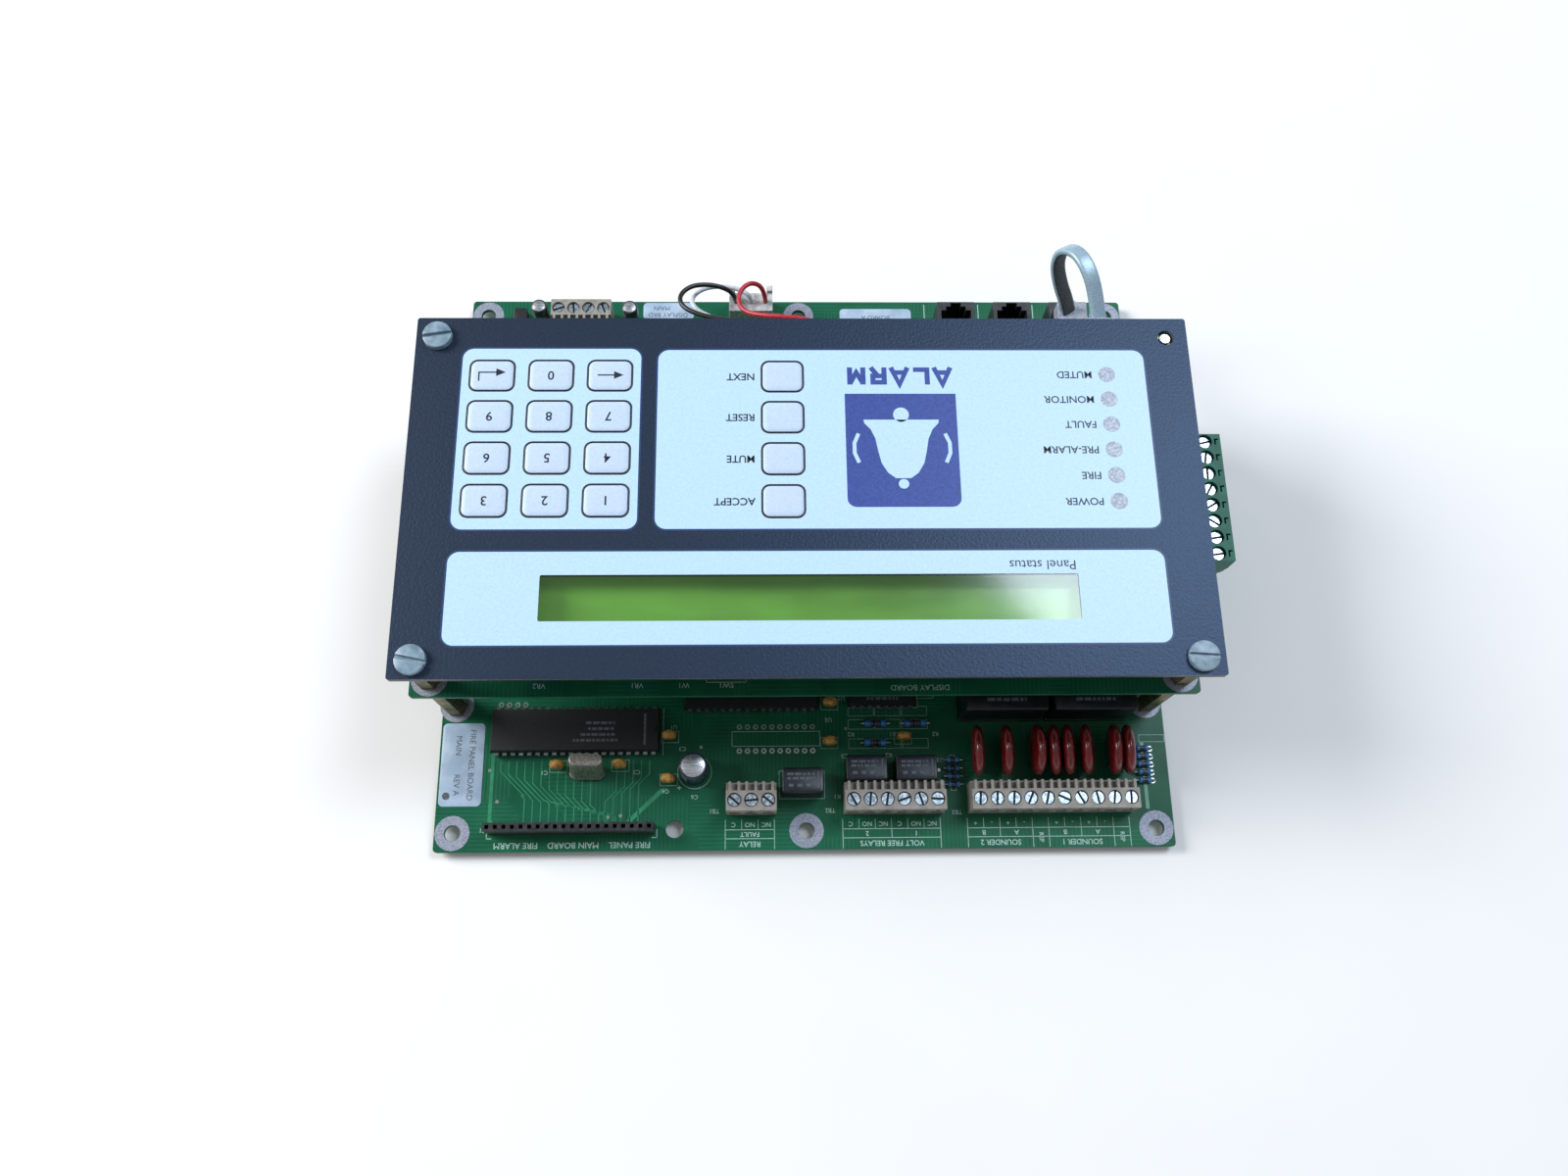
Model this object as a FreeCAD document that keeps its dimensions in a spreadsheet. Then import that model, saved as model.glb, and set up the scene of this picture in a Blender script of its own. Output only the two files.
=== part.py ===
"""Electronics and display stack of a conventional fire alarm control panel.

Three layers on standoffs: a main board, a display board and a front plate with a
membrane keypad.  Millimetres, +X to the right, +Y to the far edge, +Z out of the front.
The origin is the centre of the main board's mounting holes, on its underside.
"""
import FreeCAD, Part
import math
import os
import Sketcher
from FreeCAD import Placement, Rotation, Vector

# ---------------------------------------------------------------- driving sizes
SIZES = {
    # main board
    "board_length": 226.2,
    "board_width": 189.2,
    "board_thick": 1.6,
    "board_corner": 1.2,
    "hole_spacing_x": 215.2,
    "hole_spacing_y": 177.8,
    "hole_radius": 2.45,
    "bare_hole_radius": 2.4,
    # display board and front plate
    "stack_shift": -0.5,
    "plate_length": 229.4,
    "plate_width": 110.4,
    "plate_shift": 0.6,
    "plate_thick": 1.3,
    "plate_corner": 0.8,
    "membrane_thick": 0.2,
    "overlay_thick": 0.5,
    "display_board_length": 227.7,
    "display_board_width": 110.7,
    # standoffs and screws
    "standoff_spacing_x": 216.5,
    "standoff_spacing_y": 98.7,
    "lower_standoff": 33.7,
    "upper_standoff": 18.0,
    "standoff_flats": 6.35,
    "thread_radius": 1.5,
    "thread_clearance": 0.08,
    "nylon_head_radius": 4.3,
    "nylon_head_height": 2.0,
    "steel_head_radius": 2.9,
    "steel_head_height": 2.2,
    # keypad
    "key_length": 13.1,
    "key_width": 10.0,
    "function_key_length": 12.3,
    "key_corner": 2.2,
    "key_gap": 0.25,
    "key_proud": 0.4,
    "key_travel": 0.35,
    "key_stop": 0.05,
    "key_pitch_x": 17.2,
    "key_pitch_y": 13.15,
    # display and lamps
    "window_length": 150.4,
    "window_width": 13.4,
    "window_y": -31.7,
    "lcd_board_length": 182.0,
    "lcd_board_width": 33.5,
    "lcd_spacer": 5.0,
    "lcd_depth": 7.6,
    "lamp_radius": 2.5,
    "lamp_pitch": 8.06,
    # terminals
    "pole_pitch": 5.08,
    "terminal_height": 10.0,
    "terminal_depth": 8.7,
    "terminal_well_radius": 2.15,
    "plug_poles": 8,
    "plug_travel": 9.5,
    # modular jacks
    "jack_length": 12.6,
    "jack_depth": 16.0,
    "jack_height": 16.0,
    "jack_pitch": 18.9,
    "plug_length": 9.65,
    "plug_width": 6.6,
    "plug_gap": 0.15,
    "flat_cable_width": 5.0,
    "wire_diameter": 1.6,
    # parts on the boards
    "pin_pitch": 2.54,
    "strip_pins": 20,
    "varistor_radius": 7.6,
    "varistor_thick": 3.6,
    "trimmer_size": 6.8,
    "rotor_radius": 2.0,
    "rotor_clearance": 0.06,
    "slider_travel": 1.5,
    "slider_clearance": 0.1,
}

KEY_NAMES = (
    ("key_3", "key_6", "key_9", "key_enter"),
    ("key_2", "key_5", "key_8", "key_0"),
    ("key_1", "key_4", "key_7", "key_back"),
)
FUNCTION_KEY_NAMES = ("key_accept", "key_mute", "key_reset", "key_next")


class Length:
    """A size that carries its value and the sheet expression that gives it."""

    def __init__(self, value, text=None):
        self.value = float(value)
        self.text = text or repr(float(value))

    def combine(self, other, sign, swap=False):
        other = as_length(other)
        left, right = (other, self) if swap else (self, other)
        results = {
            "+": left.value + right.value,
            "-": left.value - right.value,
            "*": left.value * right.value,
        }
        if sign == "/":
            results["/"] = left.value / right.value
        return Length(results[sign], f"({left.text} {sign} {right.text})")

    def __add__(self, other):
        return self.combine(other, "+")

    def __radd__(self, other):
        return self.combine(other, "+", True)

    def __sub__(self, other):
        return self.combine(other, "-")

    def __rsub__(self, other):
        return self.combine(other, "-", True)

    def __mul__(self, other):
        return self.combine(other, "*")

    def __rmul__(self, other):
        return self.combine(other, "*", True)

    def __truediv__(self, other):
        return self.combine(other, "/")

    def __neg__(self):
        return 0 - self


def as_length(size):
    return size if isinstance(size, Length) else Length(size)


doc = FreeCAD.newDocument("alarm_panel_electronics")
sheet = doc.addObject("Spreadsheet::Sheet", "sizes")
for row, (size_name, number) in enumerate(SIZES.items(), 1):
    sheet.set(f"A{row}", size_name.replace("_", " "))
    sheet.set(f"B{row}", str(number))
    sheet.setAlias(f"B{row}", size_name)
doc.recompute()


class SizeBook:
    """Gives each driving size by name, tied to its cell."""

    def __getattr__(self, name):
        return Length(SIZES[name], "sizes." + name)


size = SizeBook()
sub_parts = []


# ---------------------------------------------------------------- shared tools
def bind(thing, prop, length):
    thing.setExpression(prop, as_length(length).text)


def place(thing, x, y, z, turn=None):
    """Put an object at bound coordinates, with an optional fixed turn."""
    spot = [as_length(c) for c in (x, y, z)]
    thing.Placement = Placement(Vector(*[c.value for c in spot]), turn or Rotation())
    for axis, length in zip("xyz", spot):
        bind(thing, f"Placement.Base.{axis}", length)


def box(length, width, height, x, y, z):
    """Box centred on x and y, standing on z."""
    solid = doc.addObject("Part::Box", "box")
    for prop, length_of in (("Length", length), ("Width", width), ("Height", height)):
        bind(solid, prop, length_of)
    place(solid, x - as_length(length) / 2, y - as_length(width) / 2, z)
    return solid


TOWARDS = {
    "+Z": Rotation(),
    "+X": Rotation(Vector(0, 1, 0), 90),
    "+Y": Rotation(Vector(1, 0, 0), -90),
    "-Y": Rotation(Vector(1, 0, 0), 90),
}


def rod(radius, height, x, y, z, towards="+Z"):
    """Cylinder that starts at the point and runs the way given."""
    solid = doc.addObject("Part::Cylinder", "rod")
    bind(solid, "Radius", radius)
    bind(solid, "Height", height)
    place(solid, x, y, z, TOWARDS[towards])
    return solid


def round_rims(cylinder, radius):
    """Round both rims of a cylinder."""
    rounded = doc.addObject("Part::Fillet", "rounded")
    rounded.Base = cylinder
    rounded.Edges = [(1, radius, radius), (3, radius, radius)]
    return rounded


def hexagon(flats, height, x, y, z):
    solid = doc.addObject("Part::Prism", "hexagon")
    solid.Polygon = 6
    bind(solid, "Circumradius", flats / math.sqrt(3))
    bind(solid, "Height", height)
    place(solid, x, y, z)
    return solid


def join(pieces):
    solid = doc.addObject("Part::MultiFuse", "join")
    solid.Shapes = pieces
    return solid


def group(pieces):
    """Separate solids that share one node."""
    solids = doc.addObject("Part::Compound", "group")
    solids.Links = pieces
    return solids


def cut(base, tools):
    solid = doc.addObject("Part::Cut", "cut")
    solid.Base = base
    solid.Tool = tools[0] if len(tools) == 1 else group(tools)
    return solid


def sub_part(thing, label):
    thing.Label = label
    sub_parts.append(thing)
    return thing


# ---------------------------------------------------------------- sketched bodies
def origin_feature(body, role):
    return next(item for item in body.Origin.OriginFeatures if item.Role == role)


def sketch_on(body, role="XY_Plane", height=0):
    sketch = body.newObject("Sketcher::SketchObject", "sketch")
    sketch.AttachmentSupport = [(origin_feature(body, role), "")]
    sketch.MapMode = "FlatFace"
    bind(sketch, "AttachmentOffset.Base.z", height)
    return sketch


def fix(sketch, kind, length, *points):
    """Add one dimension to a sketch and bind it."""
    length = as_length(length)
    index = sketch.addConstraint(Sketcher.Constraint(kind, *points, length.value))
    bind(sketch, f"Constraints[{index}]", length)


def fix_point(sketch, index, end, x, y):
    fix(sketch, "DistanceX", x, -1, 1, index, end)
    fix(sketch, "DistanceY", y, -1, 1, index, end)


def draw_circle(sketch, x, y, radius):
    x, y, radius = as_length(x), as_length(y), as_length(radius)
    circle = Part.Circle(Vector(x.value, y.value, 0), Vector(0, 0, 1), radius.value)
    index = sketch.addGeometry(circle, False)
    fix(sketch, "Radius", radius, index)
    fix_point(sketch, index, 3, x, y)


def draw_polygon(sketch, corners):
    """Closed outline through bound corners."""
    corners = [(as_length(x), as_length(y)) for x, y in corners]
    points = [Vector(x.value, y.value, 0) for x, y in corners]
    first = sketch.GeometryCount
    count = len(points)
    for i in range(count):
        sketch.addGeometry(Part.LineSegment(points[i], points[(i + 1) % count]), False)
    for i in range(count):
        following = first + (i + 1) % count
        sketch.addConstraint(Sketcher.Constraint("Coincident", first + i, 2, following, 1))
        fix_point(sketch, first + i, 1, *corners[i])


def draw_rounded(sketch, x, y, length, width, corner):
    """Rectangle about (x, y) with round corners, drawn anticlockwise from its lower edge."""
    x, y, corner = as_length(x), as_length(y), as_length(corner)
    half_length, half_width = as_length(length) / 2, as_length(width) / 2
    first = sketch.GeometryCount
    sides = ((1, -1), (1, 1), (-1, 1), (-1, -1))
    for step, (side_x, side_y) in enumerate(sides):
        centre_x = x + side_x * (half_length - corner)
        centre_y = y + side_y * (half_width - corner)
        centre = Vector(centre_x.value, centre_y.value, 0)
        circle = Part.Circle(centre, Vector(0, 0, 1), corner.value)
        start = math.radians(-90 + 90 * step)
        arc = sketch.addGeometry(Part.ArcOfCircle(circle, start, start + math.pi / 2), False)
        fix(sketch, "Radius", corner, arc)
        fix_point(sketch, arc, 3, centre_x, centre_y)
    for step in range(4):
        here, there = first + step, first + (step + 1) % 4
        edge = Part.LineSegment(sketch.getPoint(here, 2), sketch.getPoint(there, 1))
        line = sketch.addGeometry(edge, False)
        sketch.addConstraint(Sketcher.Constraint("Tangent", here, 2, line, 1))
        sketch.addConstraint(Sketcher.Constraint("Tangent", line, 2, there, 1))


def pad(body, sketch, length, downwards=False, centred=False):
    feature = body.newObject("PartDesign::Pad", "pad")
    feature.Profile = sketch
    feature.Reversed = downwards
    feature.Midplane = centred
    bind(feature, "Length", length)
    body.Tip = feature
    return feature


def pocket(body, sketch, depth=None, forwards=False):
    """Cut a sketch through the whole body, or to a depth."""
    feature = body.newObject("PartDesign::Pocket", "pocket")
    feature.Profile = sketch
    feature.Reversed = forwards
    if depth is None:
        feature.Type = "ThroughAll"
        feature.Midplane = True
    else:
        bind(feature, "Length", depth)
    body.Tip = feature
    return feature


def repeat(body, feature, axis, pitch, count):
    """Repeat a feature along one of the body's axes."""
    pattern = body.newObject("PartDesign::LinearPattern", "repeat")
    pattern.Originals = [feature]
    pattern.Direction = (origin_feature(body, axis), [""])
    bind(pattern, "Length", pitch * (count - 1))
    pattern.Occurrences = count
    body.Tip = pattern
    return pattern


def sheet_body(label, length, width, thick, corner, x, y, z):
    """Flat rounded sheet, with its own origin at the middle of its underside."""
    body = doc.addObject("PartDesign::Body", label)
    place(body, x, y, z)
    outline = sketch_on(body)
    draw_rounded(outline, 0, 0, length, width, corner)
    pad(body, outline, thick)
    return body


# ---------------------------------------------------------------- levels and places
main_top = size.board_thick
display_bottom = main_top + size.lower_standoff
display_top = display_bottom + size.board_thick
plate_bottom = display_top + size.upper_standoff
plate_top = plate_bottom + size.plate_thick
membrane_top = plate_top + size.membrane_thick
face = membrane_top + size.overlay_thick
# the board's parts keep their places about its middle, whatever its own size
parts_left, parts_right, parts_near, parts_far = -113.1, 113.1, -94.6, 94.6
display_near = -size.display_board_width / 2 + 0.45
display_far = size.display_board_width / 2 + 0.45
display_right = size.display_board_length / 2 + size.stack_shift

STANDOFFS = [(side_x, side_y) for side_x in (-1, 1) for side_y in (-1, 1)]
BARE_STANDOFF = (1, 1)


def standoff_place(side_x, side_y):
    return (size.stack_shift + size.standoff_spacing_x * side_x / 2,
            size.standoff_spacing_y * side_y / 2)


def draw_standoff_holes(sketch, shift_x, shift_y, radius):
    """Four holes on the standoffs' axes, in a body that is shifted from the origin."""
    for side in STANDOFFS:
        x, y = standoff_place(*side)
        draw_circle(sketch, x - shift_x, y - shift_y, radius)


# keypad places, measured from the middle of the face
keypad_x = -size.plate_length / 2 + 39.8
keypad_y = -2.75
function_x = keypad_x + 67.7
function_y = keypad_y - 0.3
lamp_x = size.plate_length / 2 - 25.85
lamp_y = -3.2
window_x = 0
lcd_bottom = display_top + size.lcd_spacer


# ---------------------------------------------------------------- boards
def main_board():
    body = sheet_body("main_board", size.board_length, size.board_width, size.board_thick,
                      size.board_corner, 0, 0, 0)
    mounting = sketch_on(body)
    for side_x in (-1, 0, 1):
        for side_y in (-1, 1):
            draw_circle(mounting, size.hole_spacing_x * side_x / 2,
                        size.hole_spacing_y * side_y / 2, size.hole_radius)
    pocket(body, mounting)
    fixings = sketch_on(body)
    draw_standoff_holes(fixings, 0, 0, size.thread_radius + size.thread_clearance)
    draw_circle(fixings, strip_right + 7.1, strip_y, 2.7)
    pocket(body, fixings)
    sub_part(body, "main_board")


def display_board():
    body = sheet_body("display_board", size.display_board_length, size.display_board_width,
                      size.board_thick, size.board_corner, size.stack_shift, 0.45,
                      display_bottom)
    fixings = sketch_on(body)
    draw_standoff_holes(fixings, size.stack_shift, 0.45,
                        size.thread_radius + size.thread_clearance)
    pocket(body, fixings)
    sub_part(body, "display_board")


def layer_body(label, thick, z):
    """One full-size layer of the front panel, with its four screw holes."""
    body = sheet_body(label, size.plate_length, size.plate_width, thick,
                      size.plate_corner, size.stack_shift, size.plate_shift, z)
    fixings = sketch_on(body)
    draw_standoff_holes(fixings, size.stack_shift, size.plate_shift,
                        size.thread_radius + 2 * size.thread_clearance)
    pocket(body, fixings)
    bare = sketch_on(body)
    x, y = standoff_place(*BARE_STANDOFF)
    draw_circle(bare, x - size.stack_shift, y - size.plate_shift, size.bare_hole_radius)
    pocket(body, bare)
    return body


def in_layer(x, y):
    """A place on the face, in a layer's own coordinates."""
    return x - size.stack_shift, y - size.plate_shift


def cut_sight_holes(body):
    """Openings under the display window and over the six lamps."""
    openings = sketch_on(body)
    x, y = in_layer(window_x, size.window_y)
    draw_rounded(openings, x, y, size.window_length + 1, size.window_width + 1, 0.5)
    pocket(body, openings)
    lamps = sketch_on(body)
    x, y = in_layer(lamp_x, lamp_y)
    draw_circle(lamps, x, y, size.lamp_radius)
    repeat(body, pocket(body, lamps), "Y_Axis", size.lamp_pitch, 6)


tail_x, tail_y = -30.0, 20.0
tail_length, tail_thick = 20.0, 0.3


def front_plate():
    body = layer_body("front_plate", size.plate_thick, plate_bottom)
    cut_sight_holes(body)
    slot = sketch_on(body)
    draw_rounded(slot, *in_layer(tail_x, tail_y), tail_length + 2, tail_thick + 2, 0.8)
    pocket(body, slot)
    sub_part(body, "front_plate")


def switch_membrane():
    """Printed switch sheet, with the flat tail that drops to the display board."""
    body = layer_body("switch_membrane", size.membrane_thick, plate_top)
    cut_sight_holes(body)
    tail = sketch_on(body)
    x, y = in_layer(tail_x, tail_y)
    corners = [(x + side_x * tail_length / 2, y + side_y * tail_thick / 2)
               for side_x, side_y in ((-1, -1), (1, -1), (1, 1), (-1, 1))]
    draw_polygon(tail, corners)
    pad(body, tail, plate_top - display_top, downwards=True)
    sub_part(body, "switch_membrane")


def graphic_overlay():
    body = layer_body("graphic_overlay", size.overlay_thick, membrane_top)
    window = sketch_on(body)
    draw_rounded(window, *in_layer(window_x, size.window_y),
                 size.window_length, size.window_width, 0.5)
    pocket(body, window)
    columns = (
        (keypad_x - size.key_pitch_x, keypad_y, size.key_length, 3),
        (function_x, function_y, size.function_key_length, 1),
    )
    for first_x, first_y, length, count in columns:
        column = sketch_on(body)
        for row_number in range(4):
            x, y = in_layer(first_x, first_y + size.key_pitch_y * row_number)
            draw_rounded(column, x, y, length + 2 * size.key_gap,
                         size.key_width + 2 * size.key_gap, size.key_corner + size.key_gap)
        opening = pocket(body, column)
        if count > 1:
            repeat(body, opening, "X_Axis", size.key_pitch_x, count)
    sub_part(body, "graphic_overlay")


def display_window():
    body = sheet_body("display_window", size.window_length, size.window_width,
                      size.overlay_thick, 0.5, window_x, size.window_y, membrane_top)
    sub_part(body, "display_window")


def key(label, x, y, length):
    """Embossed key pad that sinks by the key travel onto the switch sheet."""
    bottom = membrane_top + size.key_travel + size.key_stop
    thick = face + size.key_proud - bottom
    body = sheet_body(label, length, size.key_width, thick, size.key_corner, x, y, bottom)
    doc.recompute()
    block = body.Tip
    tops = [f"Face{i}" for i, surface in enumerate(block.Shape.Faces, 1)
            if surface.CenterOfMass.z > thick.value - 0.001]
    rounding = body.newObject("PartDesign::Fillet", "rounding")
    rounding.Base = (block, tops)
    bind(rounding, "Radius", size.key_proud / 2)
    body.Tip = rounding
    sub_part(body, label)


def keys():
    for column, names in enumerate(KEY_NAMES, -1):
        for row_number, label in enumerate(names):
            key(label, keypad_x + size.key_pitch_x * column,
                keypad_y + size.key_pitch_y * row_number, size.key_length)
    for row_number, label in enumerate(FUNCTION_KEY_NAMES):
        key(label, function_x, function_y + size.key_pitch_y * row_number,
            size.function_key_length)


# ---------------------------------------------------------------- standoffs and screws
def standoffs_and_screws():
    lower, upper, nylon, steel = [], [], [], []
    bore = size.thread_radius + size.thread_clearance
    stud = size.board_thick + 6
    for side in STANDOFFS:
        x, y = standoff_place(*side)
        lower.append(cut(hexagon(size.standoff_flats, size.lower_standoff, x, y, main_top),
                         [rod(bore, size.lower_standoff, x, y, main_top)]))
        pillar = cut(hexagon(size.standoff_flats, size.upper_standoff, x, y, display_top),
                     [rod(bore, 10, x, y, plate_bottom - 10)])
        upper.append(join([pillar, rod(size.thread_radius, stud, x, y, display_top - stud)]))
        steel.append(join([
            rod(size.steel_head_radius, size.steel_head_height, x, y,
                -size.steel_head_height),
            rod(size.thread_radius, main_top + 6, x, y, 0)]))
        if side == BARE_STANDOFF:
            steel.append(rod(size.thread_radius, face - plate_bottom + 7.5, x, y,
                             plate_bottom - 8))
        else:
            nylon.append(nylon_screw(x, y))
    sub_part(group(lower), "lower_standoffs")
    sub_part(group(upper), "upper_standoffs")
    sub_part(group(nylon), "plate_screws")
    sub_part(group(steel), "base_screws")


def nylon_screw(x, y):
    """Slotted nylon pan head over the face, its thread in the upper standoff."""
    head = rod(size.nylon_head_radius, size.nylon_head_height, x, y, face)
    slot = box(2 * size.nylon_head_radius + 1, 1.0, 1.0, x, y,
               face + size.nylon_head_height - 0.9)
    return join([cut(head, [slot]),
                 rod(size.thread_radius, face - plate_bottom + 6, x, y, plate_bottom - 6)])


# ---------------------------------------------------------------- display and lamps
def display_module():
    lcd_top = lcd_bottom + size.board_thick
    frame_length, frame_width = size.window_length + 12, size.window_width + 12.6
    glass_length, glass_width = size.window_length + 8, size.window_width + 8
    board = sheet_body("lcd_board", size.lcd_board_length, size.lcd_board_width,
                       size.board_thick, 1, window_x, size.window_y, lcd_bottom)
    corners = sketch_on(board)
    for side_x, side_y in STANDOFFS:
        draw_circle(corners, (size.lcd_board_length / 2 - 3) * side_x,
                    (size.lcd_board_width / 2 - 3) * side_y, 1.6)
    pocket(board, corners)
    shell = box(frame_length, frame_width, size.lcd_depth, window_x, size.window_y, lcd_top)
    inside = box(glass_length + 0.2, glass_width + 0.2, size.lcd_depth - 0.4,
                 window_x, size.window_y, lcd_top)
    sight = box(size.window_length + 3, size.window_width + 3, size.lcd_depth,
                window_x, size.window_y, lcd_top + 1)
    sub_part(board, "lcd_board")
    sub_part(cut(shell, [join([inside, sight])]), "lcd_frame")
    glass = box(glass_length, glass_width, size.lcd_depth - 0.5, window_x, size.window_y,
                lcd_top)
    sub_part(glass, "lcd_glass")


def lamps():
    lamps_made = []
    height = size.upper_standoff - 0.3
    for number in range(6):
        y = lamp_y + size.lamp_pitch * number
        stem = rod(size.lamp_radius - 0.1, height - size.lamp_radius, lamp_x, y, display_top)
        dome = doc.addObject("Part::Sphere", "dome")
        bind(dome, "Radius", size.lamp_radius - 0.1)
        place(dome, lamp_x, y, display_top + height - size.lamp_radius)
        lamps_made.append(join([stem, dome]))
    sub_part(group(lamps_made), "status_lamps")


# ---------------------------------------------------------------- terminals
screw_inset = 13.75
screw_y = parts_near + screw_inset
block_firsts = ((3, parts_left + 91.2), (6, parts_right - 99.1), (10, parts_right - 60.8))
far_block_poles, far_block_first = 4, parts_left + 31.2
far_screw_y = parts_far - 8.2
near_wall = 3.2
step_height = 7.4
screw_head, screw_thread, screw_slot, slot_depth = 1.3, 1.25, 0.7, 0.7


def terminal_block(poles, first_x, y, facing):
    """One moulded block: wires enter the side that facing points to."""
    body = doc.addObject("PartDesign::Body", f"terminal_block_{poles}")
    turn = Rotation(Vector(0, 0, 1), 0 if facing < 0 else 180)
    start = first_x if facing < 0 else first_x + size.pole_pitch * (poles - 1)
    place(body, start, y, main_top, turn)
    profile = sketch_on(body, "YZ_Plane", -size.pole_pitch / 2)
    back = size.terminal_depth - near_wall
    top_back = size.terminal_depth - near_wall - 2.7
    draw_polygon(profile, [
        (-near_wall, 0), (back, 0), (back, step_height), (top_back, step_height),
        (top_back, size.terminal_height), (-near_wall, size.terminal_height)])
    pad(body, profile, size.pole_pitch * poles)
    prongs = sketch_on(body, height=size.terminal_height)
    for side in (-1, 1):
        draw_polygon(prongs, [
            (side * 1.35 - 0.4, top_back), (side * 1.35 + 0.4, top_back),
            (side * 1.35 + 0.4, back), (side * 1.35 - 0.4, back)])
    repeat(body, pad(body, prongs, 1.6, downwards=True), "X_Axis", size.pole_pitch, poles)
    well = sketch_on(body, height=size.terminal_height)
    draw_circle(well, 0, 0, size.terminal_well_radius)
    repeat(body, pocket(body, well, 2.0), "X_Axis", size.pole_pitch, poles)
    throat = sketch_on(body, height=size.terminal_height - 2)
    draw_circle(throat, 0, 0, 1.4)
    repeat(body, pocket(body, throat, 2.6), "X_Axis", size.pole_pitch, poles)
    entry = sketch_on(body, "XZ_Plane", near_wall)
    draw_rounded(entry, 0, 3.6, 3.4, 3.8, 0.4)
    repeat(body, pocket(body, entry, 6.2), "X_Axis", size.pole_pitch, poles)
    return body


def slotted_screw(x, y, top, head_radius, shank, turn):
    """Clamping screw: slotted head, and a shank that reaches the wire chamber."""
    head = rod(head_radius, screw_head, x, y, top - screw_head)
    slot_length = 2 * head_radius + 0.4
    spin = Rotation(Vector(0, 0, 1), turn)
    corner = spin.multVec(Vector(slot_length.value / 2, screw_slot / 2, 0))
    slot = doc.addObject("Part::Box", "slot")
    for prop, length in (("Length", slot_length), ("Width", screw_slot),
                         ("Height", slot_depth + 0.1)):
        bind(slot, prop, length)
    place(slot, x - corner.x, y - corner.y, top - slot_depth, spin)
    return join([cut(head, [slot]), rod(screw_thread, shank, x, y, top - screw_head - shank)])


NEAR_TURNS = (-40, 5, -38, -62, 84, 80, 18, -72, -2, 85, 86, 84, 66, 75, -25, -62, -80, 82, 88)
FAR_TURNS = (20, 95, 60, 110)
PLUG_TURNS = (8, 10, -35, 30, 60, 88, 80, 12)


def terminals():
    blocks, screws = [], []
    turns = iter(NEAR_TURNS + FAR_TURNS)
    head_top = main_top + size.terminal_height - 0.7
    for poles, first_x in block_firsts:
        blocks.append(terminal_block(poles, first_x, screw_y, -1))
        for number in range(poles):
            screws.append(slotted_screw(first_x + size.pole_pitch * number, screw_y, head_top,
                                        size.terminal_well_radius - 0.15, 2.6, next(turns)))
    blocks.append(terminal_block(far_block_poles, far_block_first, far_screw_y, 1))
    for number in range(far_block_poles):
        screws.append(slotted_screw(far_block_first + size.pole_pitch * number, far_screw_y,
                                    head_top, size.terminal_well_radius - 0.15, 2.6,
                                    next(turns)))
    sub_part(group(blocks), "terminal_blocks")
    sub_part(group(screws), "terminal_screws")


plug_y = 2.2
plug_bottom = display_top - 5.3
plug_height = 15.5
plug_depth = 10.8
header_depth = 12.0
neck_bottom = display_top + 1.7
neck_height = 5.4
neck_depth = 9.0
plug_face = display_right + 0.15


def plug_width():
    return size.pole_pitch * size.plug_poles


def screw_plug():
    """Pluggable terminal: its neck sits in the header, its screws face up."""
    body = doc.addObject("PartDesign::Body", "screw_plug")
    place(body, plug_face, plug_y, plug_bottom)
    profile = sketch_on(body, "XZ_Plane")
    lip = plug_height - 6.5
    outline = [(0, 0), (3.2, 0), (6.2, 0.9), (8.6, 2.9), (10.1, 5.8), (plug_depth, lip),
               (plug_depth, plug_height), (0, plug_height)]
    draw_polygon(profile, outline)
    pad(body, profile, plug_width() - 0.3, centred=True)
    neck = sketch_on(body, "XZ_Plane")
    low = neck_bottom - plug_bottom
    draw_polygon(neck, [(-neck_depth, low), (0, low), (0, low + neck_height),
                        (-neck_depth, low + neck_height)])
    pad(body, neck, plug_width() - 1.8, centred=True)
    first_y = -size.pole_pitch * (size.plug_poles - 1) / 2
    count = int(SIZES["plug_poles"])
    well = sketch_on(body, height=plug_height)
    draw_circle(well, 6.1, first_y, size.terminal_well_radius)
    repeat(body, pocket(body, well, 2.4), "Y_Axis", size.pole_pitch, count)
    throat = sketch_on(body, height=plug_height - 2.4)
    draw_circle(throat, 6.1, first_y, 1.4)
    repeat(body, pocket(body, throat, 3.2), "Y_Axis", size.pole_pitch, count)
    slot = sketch_on(body, height=plug_height)
    draw_polygon(slot, [
        (8.9, first_y - 1.1), (9.4, first_y - 1.1), (9.4, first_y + 0.4),
        (10.2, first_y + 0.4), (10.2, first_y + 0.9), (8.9, first_y + 0.9)])
    repeat(body, pocket(body, slot, 1.5), "Y_Axis", size.pole_pitch, count)
    entry = sketch_on(body, "YZ_Plane", plug_depth)
    draw_rounded(entry, first_y, 6.6, 3.2, 3.4, 0.4)
    repeat(body, pocket(body, entry, 6.6), "Y_Axis", size.pole_pitch, count)
    socket = sketch_on(body, "YZ_Plane", -neck_depth)
    draw_circle(socket, first_y, low + neck_height / 2, 0.75)
    repeat(body, pocket(body, socket, 8.4, forwards=True), "Y_Axis", size.pole_pitch, count)
    sub_part(body, "screw_plug")
    screws = []
    for number, turn in enumerate(PLUG_TURNS[:count]):
        y = plug_y + first_y + size.pole_pitch * number
        screws.append(slotted_screw(plug_face + 6.1, y, plug_bottom + plug_height - 1.1,
                                    size.terminal_well_radius - 0.15, 3.2, turn))
    sub_part(group(screws), "plug_screws")


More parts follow.
